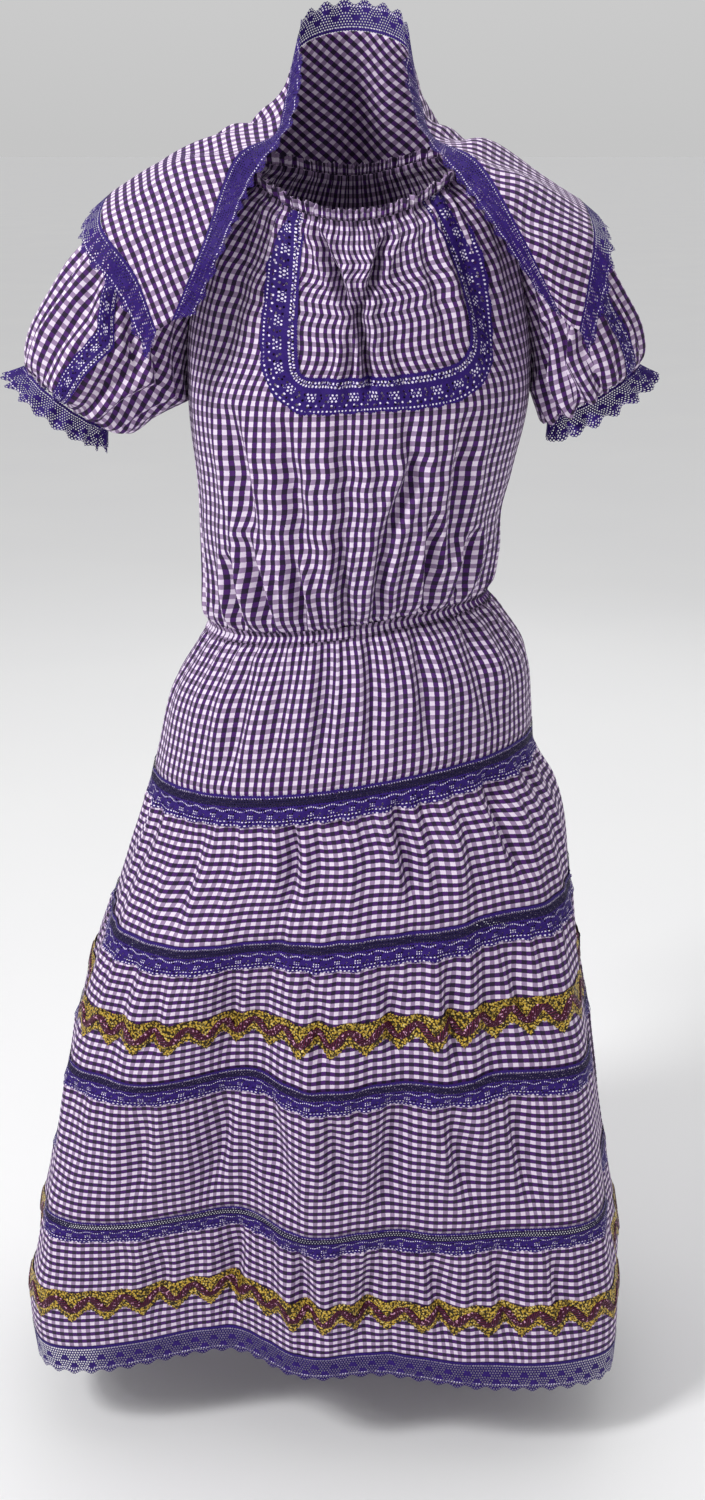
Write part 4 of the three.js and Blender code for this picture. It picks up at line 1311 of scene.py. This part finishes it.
# Creases of the sleeves: share round the sleeve and row, start and end, width and depth.
SLEEVE_CREASES = {
    "left": [
        (0.33, 2.4, 0.345, 6.6, 0.020, 4.4),
        (0.20, 3.0, 0.215, 6.7, 0.018, 5.5),
        (0.13, 3.4, 0.165, 6.8, 0.016, 4.6),
        (0.07, 3.6, 0.10, 6.6, 0.014, 3.6),
        (0.42, 1.5, 0.44, 6.4, 0.022, 3.6),
        (0.60, 1.5, 0.58, 6.6, 0.022, 4.4),
        (0.72, 2.2, 0.68, 6.8, 0.020, 4.8),
        (0.84, 2.8, 0.79, 6.8, 0.020, 4.8),
    ],
    "right": [
        (0.09, 2.8, 0.12, 6.6, 0.016, 4.6),
        (0.16, 2.6, 0.20, 6.8, 0.018, 5.4),
        (0.245, 3.0, 0.27, 6.6, 0.018, 5.0),
        (0.425, 2.2, 0.42, 6.5, 0.018, 4.0),
        (0.50, 1.4, 0.50, 6.4, 0.020, 3.4),
        (0.58, 1.6, 0.60, 6.7, 0.020, 4.4),
        (0.70, 2.2, 0.72, 6.6, 0.020, 4.8),
        (0.84, 2.6, 0.82, 6.8, 0.020, 4.6),
    ],
}


def draped_sleeve(side):
    """The whole sleeve with its gathers and creases, and a point inside it."""
    share, rows = SLEEVE_SHARES, SLEEVE_ROWS
    points = sleeve_points(side, share, rows)
    normals = grid_normals(points, points.mean(axis=(0, 1)))[0]
    away = np.minimum(share, 1 - share)[None, :]
    free = np.clip(away / 0.06, 0, 1)
    at = share[None, :] * 100 + 1.4 * uneven(rows, 1.2, 60)[:, None]
    neck, cuff = rows[:, None], CUFF - rows[:, None]
    out = 1.5 * fade(neck, 0.5) * uneven(at, 1.5, 61)
    out = out + 2.2 * fade(cuff, 0.9) * uneven(share[None, :] * 100, 1.25, 62)
    out = out + 1.8 * np.clip(neck / 2, 0, 1) * uneven(at, 3.1, 63)
    folds = creases(wound(SLEEVE_CREASES[side], 4), share[None, :] * 4, rows[:, None])
    out = out + folds * 1.7 * np.clip(cuff / 0.6, 0, 1)
    points = points + normals * (free * out)[..., None]
    below_arm = rows > SEAM_END - 0.3
    return points, points[below_arm].mean(axis=(0, 1))


class DRESS_OT_sleeves(DressOperator):
    """Sews the two puff sleeves, gathered into the neck and the cuffs"""

    bl_idname = "dress.sleeves"
    bl_label = "Sleeves"

    def execute(self, context):
        for side in SLEEVES:
            points, inside = draped_sleeve(side)
            u = np.linspace(0, spans(points, 1)[-1], len(SLEEVE_SHARES))
            v = spans(points[:, SLEEVE_CROWN], 0)
            cut = flattened(points, np.stack(np.meshgrid(u, v), -1))
            piece = cloth(f"{side}_sleeve_cloth", points, cut[..., 0], cut[..., 1], inside)
            sew(piece, f"sleeve_{side}")
        return {"FINISHED"}


class DRESS_OT_neck_ruffle(DressOperator):
    """Sews the narrow ruffle that stands above the elastic of the neck"""

    bl_idname = "dress.neck_ruffle"
    bl_label = "Neck ruffle"

    def execute(self, context):
        angles = np.linspace(-180, 180, 701)[:-1]
        up = np.linspace(0, 1, 8)[:, None]
        out = 0.2 + (1.6 + 3.0 * up) * uneven(angles, 2.1, 71)[None, :] + 1.0 * up
        out = out + (0.5 + 1.4 * up) * uneven(angles, 1.1, 72)[None, :]
        out[:, -12:] += (out[:, :1] - out[:, -1:]) * np.linspace(0, 1, 12)
        points = body(NECKLINE_Z, np.broadcast_to(angles, out.shape), out)
        fray = np.random.default_rng(74).uniform(-1.1, 1.1, len(angles)) * (up >= 1)
        points[..., 2] += 0.6 + 9.0 * up + 1.7 * up * uneven(angles, 1.7, 73)[None, :] + fray
        points = points[::-1]
        width, length = RUFFLE_CUT
        u = np.linspace(0, width, len(angles) + 1)
        v = np.linspace(0, length, len(up))[:, None]
        piece = cloth("neck_ruffle_cloth", points, u, v, (0, 0, -20), closed=True)
        sew(piece, "neck_ruffle")
        return {"FINISHED"}


class DRESS_OT_waist(DressOperator):
    """Sews the narrow elastic casing of the waist"""

    bl_idname = "dress.waist"
    bl_label = "Waist casing"

    def execute(self, context):
        angles = np.linspace(-180, 180, 481)[:-1]
        heights = np.linspace(WAIST_TOP_Z + 0.5, WAIST_BOTTOM_Z - 0.5, 6)
        middle = (WAIST_TOP_Z + WAIST_BOTTOM_Z) / 2
        press = -0.8 * np.cos(np.linspace(-1, 1, len(heights)) * np.pi)[:, None]
        swell = body_swell(middle, angles)[None, :] + press
        points = body(heights[:, None], angles[None, :], swell)
        width, length = WAIST_CUT
        u = np.linspace(0, width, len(angles) + 1)
        v = np.linspace(0, length, len(heights))[:, None]
        piece = cloth("waist_casing_cloth", points, u, v, (0, 0, middle), closed=True)
        sew(piece, "waist_casing")
        return {"FINISHED"}


class DRESS_OT_skirt(DressOperator):
    """Sews the hip yoke and the four gathered tiers"""

    bl_idname = "dress.skirt"
    bl_label = "Skirt"

    def execute(self, context):
        bands = {"hip_yoke": (WAIST_BOTTOM_Z, LACES["hip_lace"][0])} | TIERS
        for name, (top, bottom) in bands.items():
            start = top if name == "hip_yoke" else top + LACE_LAP["bottom"]
            end = bottom if name == "tier_4" else bottom - LACE_LAP["top"]
            for half, columns in SKIRT_COLUMNS.items():
                heights, angles = band(start, end, half, columns, SKIRT_STEP)
                tucked = np.where((heights > top) | (heights < bottom), -1.2, 0.0)
                points = draped_body(heights, angles, tucked)
                u, v = fold_cut(points)
                middle = (-20, 0, (start + end) / 2)
                turned = name != "hip_yoke"
                piece = cloth(f"{half}_{name}_cloth", points, u, v, middle, turned=turned)
                sew(piece, f"{name}_{half}")
        return {"FINISHED"}


class DRESS_OT_insertion_lace(DressOperator):
    """Sews the four bands of lace between the tiers of the skirt"""

    bl_idname = "dress.insertion_lace"
    bl_label = "Insertion lace"

    def execute(self, context):
        lift = settings("dress_lace").lift / MM
        for name, (top, bottom) in LACES.items():
            for half in HALVES:
                points = draped_body(*band(top, bottom, half))
                u, v = even_cut(points)
                sew_lace(f"{half}_{name}_net", f"{name}_{half}", "insertion", points, u, v, lift)
        return {"FINISHED"}


class DRESS_OT_hem_lace(DressOperator):
    """Sews the scalloped lace under the hem"""

    bl_idname = "dress.hem_lace"
    bl_label = "Hem lace"

    def execute(self, context):
        for half in HALVES:
            points = draped_body(*band(HEM_Z + 3, HEM_LACE_Z, half), 0.6)
            u, v = even_cut(points)
            sew_lace(f"{half}_hem_lace_net", f"hem_lace_{half}", "hem", points, u, v, 0.3)
        return {"FINISHED"}


class DRESS_OT_gold_trim(DressOperator):
    """Sews the two rows of gold braid with their maroon cord"""

    bl_idname = "dress.gold_trim"
    bl_label = "Gold braid"

    def execute(self, context):
        sizes = settings("dress_braid")
        wave, swing = sizes.wave / MM, sizes.swing / MM

        def turn(x, times=1):
            return np.cos(math.tau * x * times / wave)

        def middle(x):
            return CORD_MIDDLE - swing * turn(x)

        def top(x):
            return LOOPS_TOP - TOP_SWING * turn(x) - TOP_SCALLOP * turn(x, TOP_SCALLOPS)

        def bottom(x):
            tuft = np.maximum(-turn(x), 0) ** 8 * TUFT
            scallop = BOTTOM_SCALLOP * turn(x, BOTTOM_SCALLOPS)
            return LOOPS_BOTTOM - BOTTOM_SHARE * swing * turn(x) + tuft + scallop

        loops = ribbon_repeat(REPEAT + "loops", wave, top, bottom, LOOPS_HEIGHT, 40, 6)
        cord = cord_repeat(REPEAT + "cord", wave, middle, CORD_HALF, CORD_HEIGHT, 28, 6)
        for name, (high, low) in GOLD.items():
            for half in HALVES:
                points = draped_body(*band(high, low, half))
                u, v = even_cut(points)
                net = lay_trim(f"{half}_{name}_loops", points, u, v, loops, wave, "Gold loops", LOOPS_LIFT)
                sew_trim(net, f"{name}_{half}", u[-1], v[-1])
                line = lay_trim(f"{half}_{name}_cord", points, u, v, cord, wave, "Maroon cord", CORD_LIFT)
                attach(line, "root")
        return {"FINISHED"}


class DRESS_OT_bib(DressOperator):
    """Sews the U of lace onto the front of the bodice"""

    bl_idname = "dress.bib"
    bl_label = "Lace bib"

    def execute(self, context):
        place = np.linspace(0, len(BIB["outer"]) - 1, 400)
        outer = [through(BIB[name], place) for name in ("outer", "outer_z")]
        inner = [through(BIB[name], place) for name in ("inner", "inner_z")]
        share = np.linspace(0, 1, 25)[:, None]
        angles = outer[0] + (inner[0] - outer[0]) * share
        heights = outer[1] + (inner[1] - outer[1]) * share
        points = draped_body(np.minimum(heights, NECKLINE_Z), angles)[::-1]
        u, v = even_cut(points)
        v = v * BIB_DEPTH / v[-1]
        lift = settings("dress_lace").lift / MM + 0.4
        sew_lace("bib_net", "bib_lace", "bib", points, u, v, lift)
        return {"FINISHED"}


class DRESS_OT_sleeve_lace(DressOperator):
    """Sews a strip of lace down each sleeve"""

    bl_idname = "dress.sleeve_lace"
    bl_label = "Sleeve lace"

    def execute(self, context):
        lift = settings("dress_lace").lift / MM
        lines = np.interp(np.linspace(*SLEEVE_LACE_ROWS, 50), SLEEVE_ROWS, np.arange(len(SLEEVE_ROWS)))
        for side, ends in SLEEVE_LACE.items():
            whole, inside = draped_sleeve(side)
            columns = np.interp(np.linspace(*ends, 8), SLEEVE_SHARES, np.arange(len(SLEEVE_SHARES)))
            points = np.swapaxes(sampled_grid(whole, lines, columns), 0, 1)
            if side == "left":
                points = points[::-1]
            u, v = even_cut(points)
            v = v * SLEEVE_LACE_DEPTH / v[-1]
            if grid_normals(points, inside)[1]:
                points = points[::-1]
            name, rests = f"{side}_sleeve_lace_net", [f"{side}_sleeve_cloth"]
            sew_lace(name, f"sleeve_lace_{side}", "bib", points, u, v, lift)
        return {"FINISHED"}


class DRESS_OT_cuff_frill(DressOperator):
    """Sews the gathered lace frill of each cuff"""

    bl_idname = "dress.cuff_frill"
    bl_label = "Cuff frills"

    def execute(self, context):
        waves, seat, length, flare, swing = 16, 0.8, 21.0, 10.0, 4.4
        bend = np.linspace(0, math.tau, 385)
        down = np.linspace(0, 1, 8)[:, None]
        ripple = np.sin(waves * bend + 0.8 * np.sin(3 * bend) + 0.5 * np.sin(5 * bend + 1))
        ripple = ripple * (0.8 + 0.2 * np.sin(2 * bend + 1))
        wave = flare * down**1.2 + swing * (0.25 + 0.75 * down) * ripple
        for side, shape in SLEEVES.items():
            crown = np.array([shape["crown_x"][CUFF], 0, shape["crown_z"][CUFF]])
            under = np.array([shape["under_x"][CUFF], 0, shape["under_z"][CUFF]])
            centre, across = (crown + under) / 2, crown - under
            half = np.linalg.norm(across) / 2
            axis = np.array([across[2], 0, -across[0]]) / (2 * half)
            axis = axis if axis[2] < 0 else -axis
            points = centre + axis * (seat + (length - seat) * down[..., None])
            points = points + across / (2 * half) * ((half + wave) * np.cos(bend))[..., None]
            points[..., 1] += (shape["deep"][CUFF] + wave) * np.sin(bend)
            if grid_normals(points, centre + axis * length / 2)[1]:
                points = points[:, ::-1]
            u, v = even_cut(points)
            sew_lace(f"{side}_cuff_frill_net", f"cuff_frill_{side}", "edging", points, u, v, 0.0)
        return {"FINISHED"}


# Lace of the shawl: its depth, how far the hem's lace reaches, and how far down it leans along the
# hem and at the corners.
SHAWL_LACE_DEPTH, HEM_LACE_REACH = 27.0, 26.0
HEM_LEAN, CORNER_LEAN = 0.25, 1.6
SHAWL_INSIDE = (0, 0, -120)

# Creases of the shawl: share along its neck edge and from neck to hem, start and end, width, depth.
SHAWL_CREASES = [
    (0.10, 0.15, 0.17, 0.85, 0.012, 3.0),
    (0.19, 0.10, 0.25, 0.80, 0.012, 3.4),
    (0.30, 0.05, 0.33, 0.55, 0.012, 3.6),
    (0.24, 0.35, 0.34, 0.95, 0.014, 3.0),
    (0.38, 0.10, 0.41, 0.70, 0.014, 4.2),
    (0.46, 0.15, 0.47, 0.90, 0.016, 4.0),
    (0.54, 0.15, 0.54, 0.90, 0.016, 4.0),
    (0.62, 0.10, 0.60, 0.70, 0.014, 4.2),
    (0.68, 0.05, 0.66, 0.60, 0.012, 3.6),
    (0.76, 0.10, 0.70, 0.85, 0.012, 3.2),
    (0.82, 0.15, 0.77, 0.90, 0.012, 3.0),
    (0.90, 0.15, 0.84, 0.85, 0.012, 2.6),
]


def shawl_points(along, across):
    lines = {name: curve(SHAWL[name], along) for name in ("neck", "ridge", "hem")}
    stops = np.stack([lines["neck"], lines["ridge"], lines["hem"]], 0)
    return np.stack([curve(stops[:, c], across) for c in range(len(along))], 1)


def draped_shawl(along, across):
    points = shawl_points(along, across)
    normals = grid_normals(points, SHAWL_INSIDE)[0]
    edge = np.sin(np.pi * np.clip(across, 0, 1))[:, None] ** 0.5
    end = np.clip(np.minimum(along, 1 - along) / 0.08, 0, 1)[None, :]
    out = creases(wound(SHAWL_CREASES, 6, 1.3), along[None, :] * 6, across[:, None])
    out = 1.6 * out + 1.5 * uneven(along * 100 + 3 * across[:, None], 2.6, 80)
    return points + normals * (out * edge * end)[..., None], normals


class DRESS_OT_shawl(DressOperator):
    """Lays the three-cornered shawl round the neck, with lace on its three edges"""

    bl_idname = "dress.shawl"
    bl_label = "Shawl"

    def execute(self, context):
        along, across = np.linspace(0, 1, 221), np.linspace(0, 1, 49)
        points, normals = draped_shawl(along, across)
        neck = spans(points[:1], 1)
        y = across[:, None] * np.minimum(neck, neck[-1] - neck)[None, :]
        cut = flattened(points, np.stack([neck - y, neck + y], -1) / math.sqrt(2))
        piece = cloth("shawl_cloth", points, cut[..., 0], cut[..., 1], SHAWL_INSIDE)
        sew(piece, "shawl")
        share = np.linspace(0, 1, 8)[:, None, None]
        strip = points[0] + (curve(SHAWL["lace"], along) - points[0]) * share
        ripple = 1.6 * uneven(along * 100, 1.6, 81)[None, :, None] * share
        self.edge("neck", strip + ripple * grid_normals(strip, SHAWL_INSIDE)[0])
        tip = len(along) // 2
        hem, inside = points[-1], shawl_points(along, across)[round(len(across) * 2 / 3)]
        for side, columns in (("left", slice(0, tip + 1)), ("right", slice(tip, None))):
            outwards = hem[columns] - inside[columns]
            outwards /= np.linalg.norm(outwards, axis=-1, keepdims=True)
            corner = (np.abs(along[columns] - 0.5) / 0.5) ** 8
            outwards = outwards - UP * (HEM_LEAN + (CORNER_LEAN - HEM_LEAN) * corner)[:, None]
            outwards /= np.linalg.norm(outwards, axis=-1, keepdims=True)
            strip = hem[columns] + outwards * HEM_LACE_REACH * share
            ripple = 1.8 * uneven(along[columns] * 100, 1.5, 82)[None, :, None] * share
            self.edge(side, strip + ripple * normals[-1][columns])
        return {"FINISHED"}

    def edge(self, side, strip):
        """The lace of one edge, on a strip whose first row is the edge of the cloth."""
        u = spans(strip[:1], 1)
        v = np.linspace(0, SHAWL_LACE_DEPTH, len(strip))
        if grid_normals(strip, SHAWL_INSIDE)[1]:
            strip, u = strip[:, ::-1], (u[-1] - u)[::-1]
        sew_lace(f"shawl_{side}_lace_net", f"shawl_lace_{side}", "edging", strip, u, v, 0.2)


# The lamps: place, size and power, and the point that they are turned to.
LAMPS = {
    "Key": ((-2.0, -1.6, 1.9), 0.6, 80),
    "Fill": ((2.4, -2.4, 0.7), 2.4, 9),
    "Top": ((0.2, 0.6, 2.2), 2.0, 8),
    "Back": ((0.6, 2.6, 0.8), 2.0, 8),
}
LAMP_AIM = (0, 0, -0.45)
CAMERA_Z = 0.04
FLOOR_SIZE = 300


class DRESS_OT_studio(DressOperator):
    """Sets a pale floor, soft lights and the camera"""

    bl_idname = "dress.studio"
    bl_label = "Studio"

    def execute(self, context):
        sizes = settings("dress_studio")
        scene = context.scene
        material, tree, shader = new_material("Pale floor")
        cloudy = noise(tree, 1.5, 2.0, object_coordinates(tree))
        tint = mix(tree, cloudy, (0.86, 0.86, 0.87, 1), (0.9, 0.9, 0.9, 1))
        tree.links.new(tint, shader.inputs["Base Color"])
        shader.inputs["Roughness"].default_value = 0.9
        bpy.ops.mesh.primitive_plane_add(size=FLOOR_SIZE, location=(0, 0, sizes.floor_z))
        floor = context.object
        floor.name = "floor"
        floor.data.materials.append(material)
        for name, (place, size, watts) in LAMPS.items():
            lamp = bpy.data.lights.new(name, "AREA")
            lamp.size, lamp.energy = size, watts
            holder = bpy.data.objects.new(name, lamp)
            holder.location = place
            aim = np.subtract(LAMP_AIM, place)
            down = math.atan2(aim[2], math.hypot(*aim[:2]))
            across = math.atan2(aim[1], aim[0])
            holder.rotation_euler = (math.pi / 2 + down, 0, across - math.pi / 2)
            scene.collection.objects.link(holder)
        world = bpy.data.worlds.new("Studio")
        world.use_nodes = True
        background = world.node_tree.nodes["Background"]
        background.inputs[0].default_value = (1, 1, 1, 1)
        tree = world.node_tree
        around = node(tree, "ShaderNodeTexCoord").outputs["Generated"]
        toward = node(tree, "ShaderNodeSeparateXYZ", {0: around}).outputs
        glow = ramp(tree, toward[1], -0.4, 0.5, 0.14, 0.56)
        shine = maths(tree, "ADD", glow, spread(tree, toward[2], 0.0, 0.45))
        tree.links.new(shine, background.inputs[1])
        scene.world = world
        camera = bpy.data.cameras.new("Camera")
        camera.lens, camera.clip_start = sizes.lens, 0.05
        holder = bpy.data.objects.new("Camera", camera)
        holder.location = (0, -sizes.distance, CAMERA_Z)
        holder.rotation_euler = (math.pi / 2 - sizes.pitch, 0, 0)
        scene.collection.objects.link(holder)
        scene.camera = holder
        scene.view_settings.view_transform = "Standard"
        return {"FINISHED"}


class DRESS_PT_panel(bpy.types.Panel):
    bl_label = "Gingham dress"
    bl_idname = "DRESS_PT_panel"
    bl_space_type = "VIEW_3D"
    bl_region_type = "UI"
    bl_category = "Dress"

    def draw(self, context):
        for group, groups in GROUPS.items():
            box = self.layout.box()
            for name in groups.__annotations__:
                box.prop(getattr(context.scene, group), name)
        for operator in PIECES:
            self.layout.operator(operator.bl_idname)


GROUPS = {
    "dress_gingham": GinghamSettings,
    "dress_lace": LaceSettings,
    "dress_braid": BraidSettings,
    "dress_studio": StudioSettings,
}
PIECES = (
    DRESS_OT_studio,
    DRESS_OT_bodice,
    DRESS_OT_sleeves,
    DRESS_OT_neck_ruffle,
    DRESS_OT_waist,
    DRESS_OT_skirt,
    DRESS_OT_insertion_lace,
    DRESS_OT_hem_lace,
    DRESS_OT_gold_trim,
    DRESS_OT_bib,
    DRESS_OT_sleeve_lace,
    DRESS_OT_cuff_frill,
    DRESS_OT_shawl,
)


def register():
    for made in (*GROUPS.values(), *PIECES, DRESS_PT_panel):
        bpy.utils.register_class(made)
    for name, group in GROUPS.items():
        setattr(bpy.types.Scene, name, PointerProperty(type=group))


def unregister():
    for name in GROUPS:
        delattr(bpy.types.Scene, name)
    for made in reversed((*GROUPS.values(), *PIECES, DRESS_PT_panel)):
        bpy.utils.unregister_class(made)


def main():
    register()
    for made in PIECES:
        group, name = made.bl_idname.split(".")
        getattr(getattr(bpy.ops, group), name)()
    drop_repeats()


if __name__ == "__main__":
    main()
